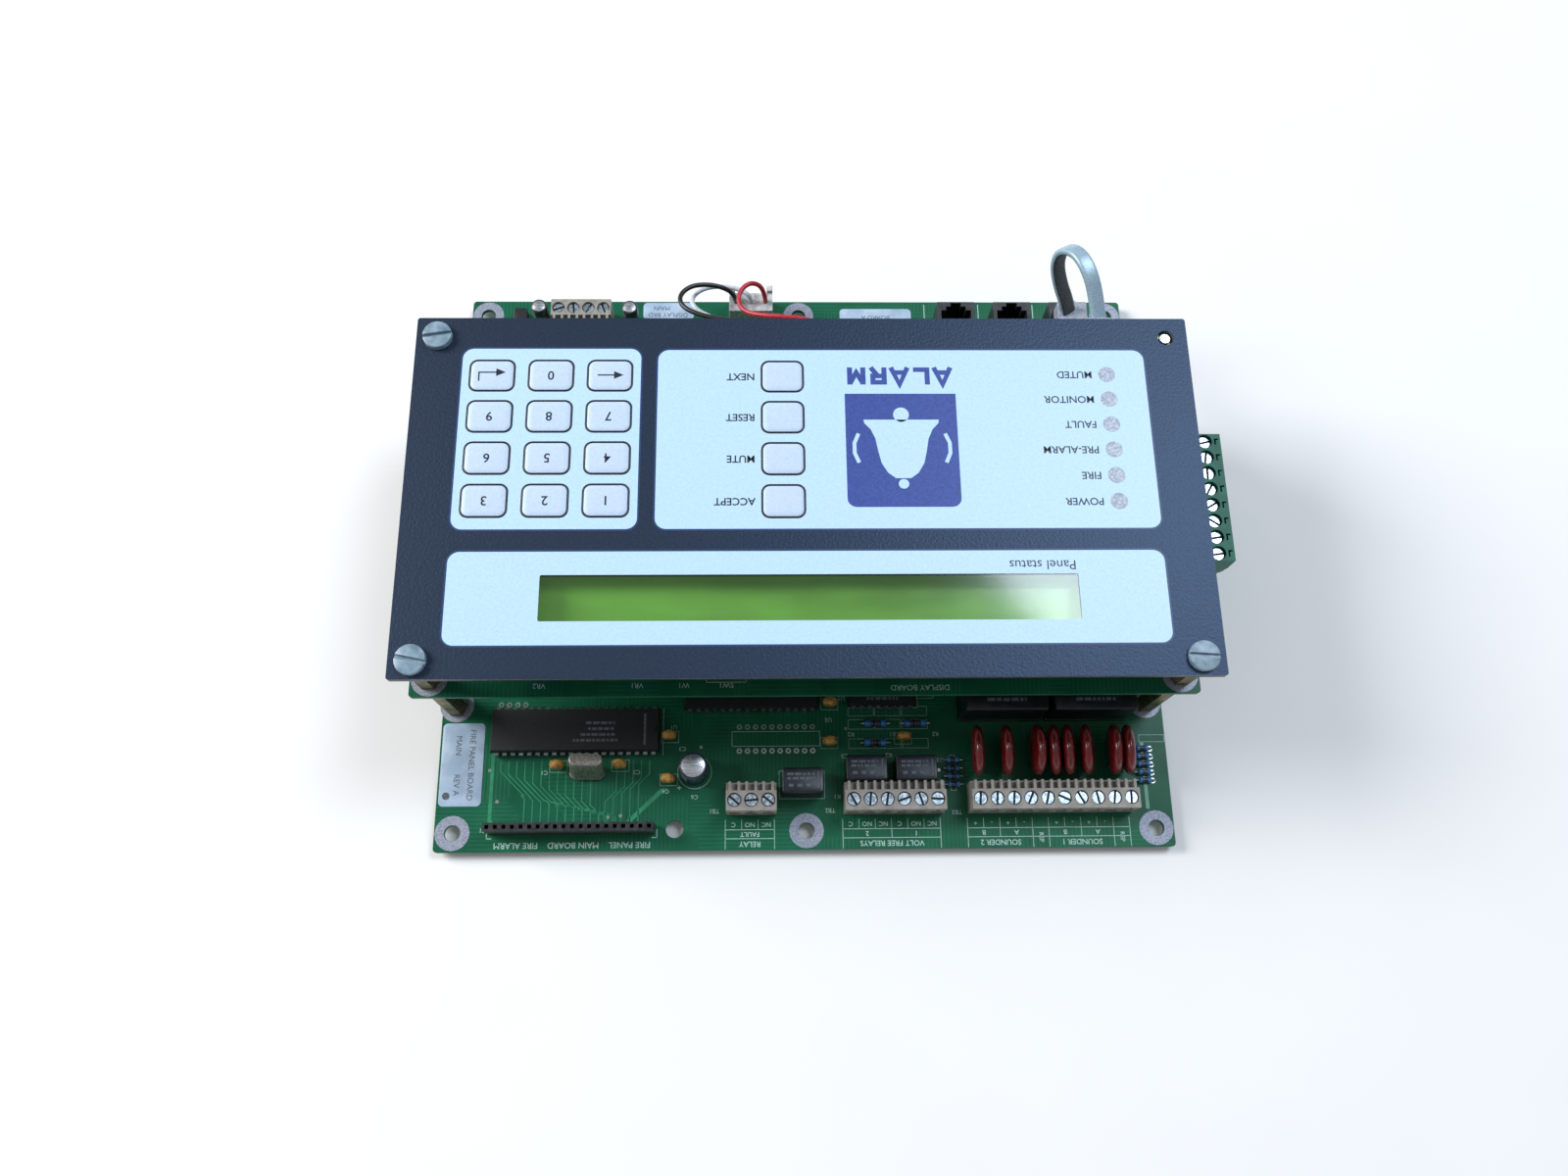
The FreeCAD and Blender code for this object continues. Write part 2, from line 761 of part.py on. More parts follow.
def plug_header():
    """Fixed half of the pluggable terminal, open towards the board's edge."""
    front = plug_face - 0.15
    shell = box(header_depth, plug_width() + 0.8, 8.6, front - header_depth / 2, plug_y,
                display_top)
    cavity = box(neck_depth + 0.6, plug_width() - 1.4, neck_height + 0.4,
                 front - (neck_depth + 0.6) / 2, plug_y, neck_bottom - 0.2)
    pieces = [cut(shell, [cavity])]
    first_y = plug_y - size.pole_pitch * (size.plug_poles - 1) / 2
    for number in range(int(SIZES["plug_poles"])):
        pieces.append(rod(0.5, header_depth - 3.6, front - header_depth + 1.4,
                          first_y + size.pole_pitch * number,
                          neck_bottom + neck_height / 2, "+X"))
    sub_part(join(pieces), "plug_header")


# ---------------------------------------------------------------- jacks, plugs, connectors
jack_y = parts_far - 9.4 - size.jack_depth / 2
jack_first_x = parts_right - 60.5
socket_depth = 11.5
plug_rise = 5.5
display_jack_x = parts_right - 20.6
display_jack_z = display_top + 6.0
display_jack_depth = size.jack_depth - 1
socket_y = jack_y + 1.2


def jack_socket(x, depth_base):
    """Space of a six-way modular socket, standing upright, latch steps on the far side."""
    length, width = size.plug_length + 2 * size.plug_gap, size.plug_width + 2 * size.plug_gap
    steps = ((length, width, 0), (6.6, 1.5, width), (3.4, 1.3, width + 1.5))
    pieces = []
    for step_length, step_width, start in steps:
        pieces.append(box(step_length, as_length(step_width) + 0.01, socket_depth, x,
                          socket_y - width / 2 + start + as_length(step_width) / 2,
                          depth_base))
    return join(pieces)


def cable_jacks():
    jacks = []
    for number in range(3):
        x = jack_first_x + size.jack_pitch * number
        shell = box(size.jack_length, size.jack_depth, size.jack_height, x, jack_y, main_top)
        jacks.append(cut(shell, [jack_socket(x, main_top + size.jack_height - socket_depth)]))
    side_shell = box(size.jack_length, display_jack_depth, 12.2, display_jack_x,
                     display_far + 1.2 - display_jack_depth / 2, display_top)
    width = size.plug_width + 2 * size.plug_gap
    side_socket = box(size.plug_length + 2 * size.plug_gap, socket_depth, width,
                      display_jack_x, display_far + 1.2 - socket_depth / 2,
                      display_jack_z - width / 2)
    jacks.append(cut(side_shell, [side_socket]))
    sub_part(group(jacks), "cable_jacks")


def cable_plugs():
    """Clear plugs on the ends of the flat cable, latched into the last two jacks."""
    length = socket_depth - 0.5 + plug_rise
    x = jack_first_x + size.jack_pitch * 2
    top = main_top + size.jack_height + plug_rise
    upright = box(size.plug_length, size.plug_width, length, x, socket_y, top - length)
    latch = box(3.0, 1.0, 9.0, x, socket_y + size.plug_width / 2 + 0.5, top - 9.5)
    level = box(size.plug_length, length, size.plug_width, display_jack_x,
                display_far + 1.2 + plug_rise - length / 2,
                display_jack_z - size.plug_width / 2)
    sub_part(group([join([upright, latch]), level]), "cable_plugs")


connector_x = parts_left + 96.6
connector_y = parts_far - 6.2
connector_length, connector_width, connector_height = 14.8, 7.0, 10.4
display_connector_x = parts_left + 119.0
display_connector_height = 7.4
display_connector_y = display_far - 5.4


def wire_connectors():
    """Three-way wire connectors: one on the main board, one under the display board."""
    main_housing = box(connector_length, connector_width, connector_height, connector_x,
                       connector_y, main_top)
    lugs = [box(2.0, 2.2, 11.6, connector_x + side * (connector_length - 2.0) / 2,
                connector_y + connector_width / 2 + 1.1, main_top) for side in (-1, 1)]
    display_housing = box(connector_length, 9.0, display_connector_height,
                          display_connector_x, display_connector_y,
                          display_bottom - display_connector_height)
    sub_part(group([join([main_housing] + lugs), display_housing]), "wire_connectors")


# ---------------------------------------------------------------- cable and wires
FLAT_CABLE_ROUTE = (
    (88.8, 78.4, 23.1), (87.4, 79.4, 27.4), (84.2, 82.4, 33.2), (81.8, 86.0, 39.8),
    (82.4, 87.2, 46.2), (85.6, 83.0, 51.2), (88.8, 76.2, 51.0), (91.4, 69.4, 46.6),
    (92.5, 62.6, 42.9),
)
BLACK_WIRE_ROUTE = (
    (-21.5, 88.4, 12.0), (-21.7, 88.0, 16.2), (-24.6, 88.6, 20.2), (-30.8, 89.0, 22.2),
    (-37.0, 87.4, 23.4), (-40.4, 82.8, 24.2), (-38.4, 77.8, 25.4), (-31.6, 74.2, 26.6),
    (-21.0, 71.4, 28.4), (-10.0, 69.0, 30.2), (-0.6, 65.2, 31.4), (0.9, 59.6, 31.6),
    (0.9, 55.3, 31.6),
)
WHITE_WIRE_ROUTE = (
    (-16.5, 88.4, 12.0), (-16.8, 89.2, 14.8), (-20.2, 91.0, 15.8), (-25.6, 91.8, 16.4),
    (-31.8, 90.8, 17.2), (-36.2, 87.2, 17.8), (-36.0, 82.6, 18.4), (-31.2, 78.6, 19.4),
    (-23.8, 75.0, 21.0), (-14.0, 72.2, 22.8), (-3.4, 70.2, 26.2), (4.4, 66.4, 30.2),
    (5.9, 60.2, 31.6), (5.9, 55.3, 31.6),
)
RED_WIRE_ROUTE = (
    (-11.5, 88.4, 12.0), (-11.8, 88.9, 16.0), (-13.4, 89.9, 20.4), (-17.0, 89.2, 22.8),
    (-20.2, 86.0, 22.8), (-20.6, 81.4, 22.6), (-18.4, 77.8, 23.4), (-13.6, 75.4, 25.4),
    (-7.2, 73.6, 27.6), (1.8, 71.8, 29.4), (9.0, 67.2, 31.2), (10.9, 60.6, 31.6),
    (10.9, 55.3, 31.6),
)


def rounded_path(label, points, diameter):
    """Straight runs joined by tangent arcs, as large as the two runs allow."""
    points = [Vector(*point) for point in points]
    edges, radii = [], []
    start = points[0]
    for i in range(1, len(points) - 1):
        before, after = points[i - 1] - points[i], points[i + 1] - points[i]
        shorter = min(before.Length, after.Length)
        reach = 0.45 * shorter
        turn = math.pi - before.getAngle(after)
        radii.append(reach / math.tan(turn / 2))
        before.normalize()
        after.normalize()
        enter, leave = points[i] + before * reach, points[i] + after * reach
        middle_way = (before + after).normalize()
        centre_gap = math.hypot(radii[-1], reach)
        middle = points[i] + middle_way * (centre_gap - radii[-1])
        edges.append(Part.LineSegment(start, enter).toShape())
        edges.append(Part.Arc(enter, middle, leave).toShape())
        start = leave
    edges.append(Part.LineSegment(start, points[-1]).toShape())
    path = Part.Wire(edges)
    print(f"{label}: length {path.Length:.1f}, smallest radius {min(radii):.1f}, "
          f"radii / diameter {[round(radius / diameter, 1) for radius in radii]}")
    return path


def tube(label, points, profile, width, area):
    """Sweep a closed profile along the rounded path of a cord."""
    path = rounded_path(label, points, width)
    solid = path.makePipeShell([profile], True, False)
    expected = area * path.Length
    if abs(solid.Volume - expected) > 0.03 * expected:
        raise ValueError(f"{label}: volume {solid.Volume:.1f}, expected {expected:.1f}")
    feature = doc.addObject("Part::Feature", label)
    feature.Shape = solid
    sub_part(feature, label)


def round_cord(label, points, diameter):
    start, following = Vector(*points[0]), Vector(*points[1])
    circle = Part.Circle(start, following - start, diameter / 2)
    tube(label, points, Part.Wire(circle.toShape()), diameter, math.pi * diameter ** 2 / 4)


def cables():
    width = SIZES["flat_cable_width"]
    round_cord("flat_cable", FLAT_CABLE_ROUTE, width)
    for label, route in (("black_wire", BLACK_WIRE_ROUTE), ("white_wire", WHITE_WIRE_ROUTE),
                         ("red_wire", RED_WIRE_ROUTE)):
        round_cord(label, route, SIZES["wire_diameter"])


# ---------------------------------------------------------------- parts on the main board
strip_left = parts_left + 17.5
strip_y = parts_near + 6.5
strip_right = strip_left + size.pin_pitch * (size.strip_pins - 1)


def socket_strip():
    """Single-row socket strip along the near edge."""
    body = doc.addObject("PartDesign::Body", "socket_strip")
    place(body, strip_left, strip_y, main_top)
    outline = sketch_on(body)
    half = size.pin_pitch / 2
    draw_polygon(outline, [(-half, -1.25), (strip_right - strip_left + half, -1.25),
                           (strip_right - strip_left + half, 1.25), (-half, 1.25)])
    pad(body, outline, 8.5)
    hole = sketch_on(body, height=8.5)
    draw_rounded(hole, 0, 0, 1.2, 1.2, 0.1)
    repeat(body, pocket(body, hole, 5.0), "X_Axis", size.pin_pitch, int(SIZES["strip_pins"]))
    sub_part(body, "socket_strip")


def chip(pins, row_spacing, x, y, z):
    """Dual in-line package with its two rows of legs."""
    half = pins // 2
    body_length = size.pin_pitch * half + 1.4
    body = box(body_length, row_spacing - 1.5, 3.8, x, y, z + 0.5)
    notch = rod(1.0, 1.0, x + body_length / 2, y, z + 3.5)
    pieces = [cut(body, [notch])]
    for side in (-1, 1):
        leg_y = y + side * (as_length(row_spacing) - 0.3) / 2
        for number in range(half):
            leg_x = x + size.pin_pitch * (number - (half - 1) / 2)
            pieces.append(box(1.3, 0.3, 2.4, leg_x, leg_y, z))
            pieces.append(box(1.3, 0.9, 0.3, leg_x, leg_y - side * 0.45, z + 2.1))
    return join(pieces)


def chips():
    sub_part(chip(40, 15.24, parts_left + 42.0, parts_near + 36.6, main_top), "processor_chip")
    logic = [
        chip(32, 15.24, parts_left + 96.3, parts_near + 49.8, main_top),
        chip(16, 7.62, parts_left + 137.3, parts_near + 46.7, main_top),
        box(4.6, 4.6, 4.2, parts_left + 17.2, parts_far - 7.2, main_top),
    ]
    sub_part(group(logic), "logic_chips")


def relays():
    """Small signal relays, and the two larger sounder relays behind the varistors."""
    places = ((parts_left + 111.9, parts_near + 19.6), (parts_right - 94.9, parts_near + 23.3),
              (parts_right - 79.7, parts_near + 23.2))
    small = []
    for x, y in places:
        case = box(12.5, 7.5, 9.6, x, y, main_top + 0.4)
        edge = box(0.8, 2.4, 0.8, x + 6.25, y, main_top + 9.6)
        foot = box(10.0, 5.5, 0.5, x, y, main_top)
        small.append(join([cut(case, [edge]), foot]))
    sub_part(group(small), "signal_relays")
    large = [box(26.0, 12.8, 15.6, parts_right - 65.1 + 13.0 + 27.2 * number,
                 parts_near + 45.5, main_top) for number in range(2)]
    sub_part(group(large), "sounder_relays")


VARISTORS = (
    # place from the board's right edge, lean to the left in degrees
    (61.0, 6), (52.1, 6), (42.7, 0), (37.4, 13), (33.2, 12), (27.6, 12), (19.1, 6), (14.8, 11),
)


def varistors():
    discs = []
    centre_z = main_top + 2.2 + size.varistor_radius
    y = parts_near + 28.2
    for inset, lean in VARISTORS:
        x = parts_right - inset
        slope = math.radians(lean)
        half = size.varistor_thick / 2
        disc = rod(size.varistor_radius, size.varistor_thick, x - math.cos(slope) * half, y,
                   centre_z - math.sin(slope) * half)
        disc.Placement.Rotation = Rotation(Vector(0, 1, 0), 90 - lean)
        disc = round_rims(disc, 0.45 * SIZES["varistor_thick"])
        foot_x = math.sin(slope) * 0.7 * size.varistor_radius
        legs = [rod(0.4, 2.2 + 0.5 * size.varistor_radius, x + foot_x, y + side * 3.75,
                    main_top) for side in (-1, 1)]
        discs.append(join([disc] + legs))
    sub_part(group(discs), "varistors")


def crystal_can():
    """Flat oval can leaning back on its two legs."""
    body = doc.addObject("PartDesign::Body", "crystal_can")
    place(body, parts_left + 45.7, parts_near + 23.6, main_top,
          Rotation(Vector(1, -0.4, 0), -11))
    flange = sketch_on(body, height=1.0)
    draw_rounded(flange, 0, 0, 11.0, 4.7, 2.34)
    pad(body, flange, 0.7)
    can = sketch_on(body, height=1.7)
    draw_rounded(can, 0, 0, 10.2, 3.9, 1.94)
    pad(body, can, 11.2)
    leg = sketch_on(body, height=1.0)
    for side in (-1, 1):
        draw_circle(leg, side * 2.44, 0, 0.25)
    pad(body, leg, 1.2, downwards=True)
    sub_part(body, "crystal_can")


def capacitors():
    """Electrolytic cans, then the small dipped ceramic and tantalum drops."""
    cans = ((4.2, 11.5, parts_left + 78.8, parts_near + 23.9),
            (2.7, 11.0, parts_left + 24.7, parts_far - 8.2),
            (2.7, 11.0, parts_left + 55.4, parts_far - 8.6))
    tall = []
    for radius, height, x, y in cans:
        can = rod(radius, height, x, y, main_top)
        groove = doc.addObject("Part::Torus", "groove")
        bind(groove, "Radius1", radius + 0.15)
        bind(groove, "Radius2", 0.4)
        place(groove, x, y, main_top + 2.0)
        tall.append(cut(can, [groove]))
    sub_part(group(tall), "electrolytic_capacitors")
    drops = ((parts_left + 36.8, parts_near + 25.9), (parts_left + 55.8, parts_near + 26.0),
             (parts_left + 71.0, parts_near + 34.9), (parts_left + 70.8, parts_near + 21.5),
             (parts_left + 120.9, parts_near + 45.0), (parts_left + 120.6, parts_near + 32.7),
             (parts_right - 82.5, parts_near + 34.0), (parts_right - 75.1, parts_near + 48.6))
    small = []
    for x, y in drops:
        drop = round_rims(rod(2.3, 2.8, x, y - 1.4, main_top + 3.6, "+Y"), 1.2)
        legs = [rod(0.25, 2.6, x + side * 1.27, y, main_top) for side in (-1, 1)]
        small.append(join([drop] + legs))
    sub_part(group(small), "ceramic_capacitors")


def resistors():
    """Axial resistors lying on the board, each with its two bent legs."""
    places = [(7.0, 1.25, parts_left + 135.1, parts_near + 38.5),
              (7.0, 1.25, parts_left + 134.9, parts_near + 32.4),
              (7.0, 1.25, parts_left + 147.6, parts_near + 38.5)]
    places += [(4.0, 0.95, parts_right - 67.4, parts_near + 19.4 + 2.5 * n) for n in range(4)]
    places += [(4.0, 0.95, parts_right - 7.9, parts_near + 20.2 + 2.5 * n) for n in range(5)]
    made = []
    for length, radius, x, y in places:
        axis_z = main_top + radius + 0.3
        barrel = rod(radius, length, x - length / 2, y, axis_z, "+X")
        lead = rod(0.3, length + 3.0, x - length / 2 - 1.5, y, axis_z, "+X")
        legs = [rod(0.25, radius + 0.3, x + side * (length / 2 + 1.2), y, main_top)
                for side in (-1, 1)]
        made.append(join([barrel, lead] + legs))
    sub_part(group(made), "resistors")


# ---------------------------------------------------------------- parts on the display board
trimmer_y = display_near + 8.7
trimmer_height = 4.6
trimmer_places = (parts_left + 35.7, parts_left + 63.7)
rotor_height = 1.1


def trimmers():
    """Two trimmers with slotted rotors that turn."""
    bodies = []
    for number, x in enumerate(trimmer_places, 1):
        case = box(size.trimmer_size, size.trimmer_size, trimmer_height, x, trimmer_y,
                   display_top)
        bore = rod(size.rotor_radius + size.rotor_clearance, rotor_height + 0.1, x, trimmer_y,
                   display_top + trimmer_height - rotor_height - 0.1)
        bodies.append(cut(case, [bore]))
        rotor = rod(size.rotor_radius, rotor_height, x, trimmer_y,
                    display_top + trimmer_height - rotor_height)
        slot = box(3.2, 0.6, 0.6, x, trimmer_y, display_top + trimmer_height - 0.5)
        sub_part(cut(rotor, [slot]), f"trimmer_rotor_{number}")
    sub_part(group(bodies), "trimmer_bodies")


switch_x = parts_left + 89.3
switch_y = display_near + 8.7
switch_height = 4.0
slider_length, slider_width = 1.5, 1.2


def dip_switch():
    """Four-way slide switch bank."""
    case = box(size.pin_pitch * 4 + 0.9, 6.6, switch_height, switch_x, switch_y, display_top)
    slots = []
    for number in range(4):
        x = switch_x + size.pin_pitch * (number - 1.5)
        slot_width = slider_length + size.slider_travel + 2 * size.slider_clearance
        slots.append(box(slider_width + 2 * size.slider_clearance, slot_width, 1.6, x,
                         switch_y, display_top + switch_height - 1.5))
        slider = box(slider_width, slider_length, 1.7, x, switch_y - size.slider_travel / 2,
                     display_top + switch_height - 1.4)
        sub_part(slider, f"switch_slider_{number + 1}")
    sub_part(cut(case, slots), "dip_switch")


# ---------------------------------------------------------------- build, check, write
for make in (main_board, display_board, front_plate, switch_membrane, graphic_overlay,
             display_window, keys, standoffs_and_screws, display_module, lamps, terminals,
             plug_header, screw_plug, cable_jacks, cable_plugs, wire_connectors, cables,
             socket_strip, chips, relays, varistors, crystal_can, capacitors, resistors,
             trimmers, dip_switch):
    make()
doc.recompute()

for thing in doc.Objects:
    if "Invalid" in thing.State or "Error" in thing.State:
        raise RuntimeError(f"{thing.Label} ({thing.Name}): {thing.State}")
os.makedirs("parts", exist_ok=True)
for thing in sub_parts:
    shape = thing.Shape
    if shape.isNull() or not shape.isValid() or not shape.Solids:
        raise RuntimeError(f"{thing.Label}: no valid solid")
    shape.exportStep(f"parts/{thing.Label}.step")
print(f"{len(sub_parts)} sub-parts written")
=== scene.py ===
"""Looks of a fire alarm panel's electronics and display stack, built around its CAD frame.

Everything is in millimetres in the row frame until a piece is finished, which turns it to
metres: +X to the right, +Y to the far edge, +Z out of the front.
"""

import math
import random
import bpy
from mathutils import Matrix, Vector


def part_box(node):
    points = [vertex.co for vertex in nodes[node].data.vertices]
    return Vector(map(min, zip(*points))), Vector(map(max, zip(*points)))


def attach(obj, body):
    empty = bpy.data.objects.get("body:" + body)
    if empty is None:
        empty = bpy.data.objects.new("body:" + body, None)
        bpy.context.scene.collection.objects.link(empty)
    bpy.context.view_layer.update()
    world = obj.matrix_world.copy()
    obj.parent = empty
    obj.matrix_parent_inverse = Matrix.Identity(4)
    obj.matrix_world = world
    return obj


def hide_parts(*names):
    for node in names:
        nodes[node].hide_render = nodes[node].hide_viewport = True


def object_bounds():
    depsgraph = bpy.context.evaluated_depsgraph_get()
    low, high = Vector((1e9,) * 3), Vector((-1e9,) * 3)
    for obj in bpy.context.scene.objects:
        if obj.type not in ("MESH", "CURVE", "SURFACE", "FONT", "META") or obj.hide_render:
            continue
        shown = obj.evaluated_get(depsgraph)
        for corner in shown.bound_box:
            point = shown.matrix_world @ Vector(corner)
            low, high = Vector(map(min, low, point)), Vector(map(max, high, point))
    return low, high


bl_info = {
    "name": "Alarm Panel Stack",
    "version": (1, 0, 0),
    "blender": (4, 5, 0),
    "location": "View3D > Sidebar > Alarm Panel",
    "description": "Finishes and fine parts of a fire alarm panel's electronics stack",
    "category": "Object",
}

import bmesh
import bpy
from bpy.props import FloatProperty, FloatVectorProperty, IntProperty, PointerProperty
from mathutils import Matrix, Vector

MM = 0.001
CREASE = 40  # degrees between two faces from which their edge counts as sharp
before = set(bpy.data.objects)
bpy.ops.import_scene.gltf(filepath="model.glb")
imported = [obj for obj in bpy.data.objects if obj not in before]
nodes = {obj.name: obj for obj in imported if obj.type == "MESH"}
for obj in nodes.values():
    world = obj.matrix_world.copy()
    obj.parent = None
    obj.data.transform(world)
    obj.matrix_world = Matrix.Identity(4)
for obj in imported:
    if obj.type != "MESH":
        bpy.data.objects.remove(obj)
cad_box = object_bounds()


def linear(code):
    """An sRGB hex colour as linear red, green, blue and alpha."""
    parts = [int(code[i:i + 2], 16) / 255 for i in (1, 3, 5)]
    return [p / 12.92 if p <= 0.04045 else ((p + 0.055) / 1.055) ** 2.4 for p in parts] + [1.0]


def span(node):
    """Lowest and highest corner of a CAD node, in millimetres."""
    low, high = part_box(node)
    return low / MM, high / MM


board_low, board_high = span("main_board")
deck_low, deck_high = span("display_board")
film_low, film_high = span("graphic_overlay")
board_top, deck_top, face = board_high.z, deck_high.z, film_high.z


# ---------------------------------------------------------------- settings
def colour(name, code, text):
    return FloatVectorProperty(name=name, description=text, subtype="COLOR", size=4,
                               min=0.0, max=1.0, default=linear(code))


def distance(name, value, text):
    return FloatProperty(name=name, description=text, subtype="DISTANCE", unit="LENGTH",
                         min=0.0, default=value * MM)


class AlarmFaceSettings(bpy.types.PropertyGroup):
    """Printed face of the panel."""

    film: colour("Surround", "#141d2b", "Dark printed surround of the front film")
    panel: colour("Panels", "#bcdcf6", "Pale printed panels and keys")
    outline: colour("Outline", "#1b3766", "Thin line round each pale panel")
    ink: colour("Legends", "#10151f", "Ink of the key outlines and legends")
    badge: colour("Badge", "#2a4290", "Blue printed badge")
    display: colour("Display", "#72a846", "Reflective rear of the liquid crystal")
    panel_corner: distance("Panel corner", 3.2, "Corner radius of the pale panels")
    print_height: distance("Print thickness", 0.03, "Thickness of a printed layer")


class AlarmBoardSettings(bpy.types.PropertyGroup):
    """Circuit boards and what is soldered to them."""

    mask: colour("Solder mask", "#044a34", "Green lacquer over bare laminate")
    mask_copper: colour("Mask over copper", "#2c8a63", "Green lacquer over copper tracks")
    silk: colour("Silk screen", "#a9c9c0", "White marking ink")
    varistor: colour("Varistor", "#68090f", "Dipped coat of the varistor discs")
    terminal: colour("Terminal block", "#97928a", "Moulded terminal blocks")
    plug: colour("Screw plug", "#0f6f57", "Green moulded screw plug")
    joint_radius: distance("Solder joint", 0.9, "Radius of a solder joint under a board")


class AlarmCordSettings(bpy.types.PropertyGroup):
    """Flat cable and the three wires."""

    sheath: colour("Flat cable", "#9bb4c4", "Silver satin sheath of the flat cable")
    black: colour("Black wire", "#101113", "Insulation of the black wire")
    white: colour("White wire", "#ccd2da", "Insulation of the white wire")
    red: colour("Red wire", "#b0182c", "Insulation of the red wire")
    wire: distance("Wire", 1.6, "Diameter of a wire over its insulation")
    flat_width: distance("Cable width", 5.0, "Width of the flat cable")
    flat_thick: distance("Cable thickness", 2.3, "Thickness of the flat cable")
    flat_sides: IntProperty(name="Cable sides", description="Points round the cable's section",
                            default=20, min=8)


class AlarmStageSettings(bpy.types.PropertyGroup):
    """Floor, lights and camera."""

    floor: colour("Floor", "#f4f4f4", "Pale studio floor")
    lens: FloatProperty(name="Lens", description="Focal length of the camera in millimetres",
                        default=28.56, min=1.0)
    sky: FloatProperty(name="Sky", description="Strength of the even light from all round",
                       default=0.34, min=0.0)
    key: FloatProperty(name="Key light", description="Power of the light from the far left",
                       default=31.0, min=0.0, subtype="POWER", unit="POWER")
    window: FloatProperty(name="Window", description="Power of the cool light that the film "
                          "mirrors at its right end", default=11.5, min=0.0, subtype="POWER",
                          unit="POWER")


SETTINGS = {
    "alarm_face": AlarmFaceSettings,
    "alarm_board": AlarmBoardSettings,
    "alarm_cords": AlarmCordSettings,
    "alarm_stage": AlarmStageSettings,
}


def settings(name):
    return getattr(bpy.context.scene, name)


# ---------------------------------------------------------------- shared tools
def add_node(tree, kind, inputs=None, **options):
    """Add a node, set its options, then set or link its inputs."""
    node = tree.nodes.new(kind)
    for name, value in options.items():
        setattr(node, name, value)
    for key, value in (inputs or {}).items():
        if isinstance(value, bpy.types.NodeSocket):
            tree.links.new(value, node.inputs[key])
        else:
            node.inputs[key].default_value = value
    return node


def surface(name, base, roughness, **sockets):
    """A material with its one shader; sockets are named with underscores for spaces."""
    material = bpy.data.materials.new(name)
    material.use_nodes = True
    tree = material.node_tree
    tree.nodes.clear()
    values = {"Base Color": base if not isinstance(base, str) else linear(base),
              "Roughness": roughness}
    values.update({key.replace("_", " "): value for key, value in sockets.items()})
    shader = add_node(tree, "ShaderNodeBsdfPrincipled", values)
    add_node(tree, "ShaderNodeOutputMaterial", {"Surface": shader.outputs[0]})
    return material, tree, shader


def grain(tree, size, detail=2.0, stretch=(1, 1, 1), seed=0.0):
    """Soft random pattern, from 0 to 1, whose lumps are about size millimetres across."""
    place = add_node(tree, "ShaderNodeTexCoord")
    shift = add_node(tree, "ShaderNodeMapping", {
        "Vector": place.outputs["Object"], "Location": (seed, seed * 0.7, 0), "Scale": stretch})
    return add_node(tree, "ShaderNodeTexNoise", {
        "Vector": shift.outputs[0], "Scale": 1 / (size * MM), "Detail": detail}).outputs[0]


def tint(tree, shader, pattern, low, high, start=0.35, end=0.65):
    """Colour the surface from low to high as the pattern goes from start to end."""
    share = add_node(tree, "ShaderNodeMapRange", {
        "Value": pattern, "From Min": start, "From Max": end})
    mix = add_node(tree, "ShaderNodeMix", {
        "Factor": share.outputs[0], "A": low, "B": high}, data_type="RGBA")
    tree.links.new(mix.outputs["Result"], shader.inputs["Base Color"])
    return mix


def relief(tree, shader, pattern, height, strength=1.0):
    """Raise the surface by the pattern, height in millimetres."""
    bump = add_node(tree, "ShaderNodeBump", {
        "Height": pattern, "Distance": height * MM, "Strength": strength})
    tree.links.new(bump.outputs[0], shader.inputs["Normal"])


def sheen_range(tree, shader, pattern, low, high):
    """Let the roughness follow the pattern."""
    share = add_node(tree, "ShaderNodeMapRange", {
        "Value": pattern, "To Min": low, "To Max": high})
    tree.links.new(share.outputs[0], shader.inputs["Roughness"])


def shade(code_or_colour, factor):
    """A colour made lighter or darker."""
    base = linear(code_or_colour) if isinstance(code_or_colour, str) else list(code_or_colour)
    return [min(1.0, part * factor) for part in base[:3]] + [1.0]


def mottled(name, base, roughness, lumps, tones=None, ends=(0.35, 0.65), bump=None, grit=None,
            sheen=None, **sockets):
    """A recipe for a surface whose colour, height or roughness follows a soft pattern.

    base is a hex colour, or a settings group and one of its colours. lumps is what grain is
    given for the pattern: size in millimetres, detail, stretch, seed. tones are the two ends of
    the colour, each a hex colour or a share of base, reached where the pattern is at ends. bump
    is a height in millimetres and its strength, over the same pattern or over that of grit.
    sheen is the range of the roughness.
    """
    def recipe():
        colour = base if isinstance(base, str) else getattr(settings(base[0]), base[1])
        material, tree, shader = surface(name, colour, roughness, **sockets)
        pattern = grain(tree, *lumps)
        if tones:
            low, high = (linear(tone) if isinstance(tone, str) else shade(colour, tone)
                         for tone in tones)
            tint(tree, shader, pattern, low, high, *ends)
        if bump:
            relief(tree, shader, grain(tree, *grit) if grit else pattern, *bump)
        if sheen:
            sheen_range(tree, shader, pattern, *sheen)
        return material
    return recipe


made = {}


def finish(recipe):
    """The material a recipe makes; each is made once."""
    if recipe not in made:
        made[recipe] = recipe()
    return made[recipe]


def coat(node, recipe):
    """Give a CAD node its material."""
    mesh = nodes[node].data
    mesh.materials.clear()
    mesh.materials.append(finish(recipe))


def soften(node, width):
    """Round the sharp edges of a CAD node a little, as moulding or turning leaves them."""
    weld = nodes[node].modifiers.new("weld", "WELD")
    weld.merge_threshold = 0.001 * MM
    bevel = nodes[node].modifiers.new("round", "BEVEL")
    bevel.width = width * MM
    bevel.segments = 2
    bevel.limit_method = "ANGLE"
    bevel.angle_limit = math.radians(CREASE)
    bevel.use_clamp_overlap = True
    bevel.harden_normals = True


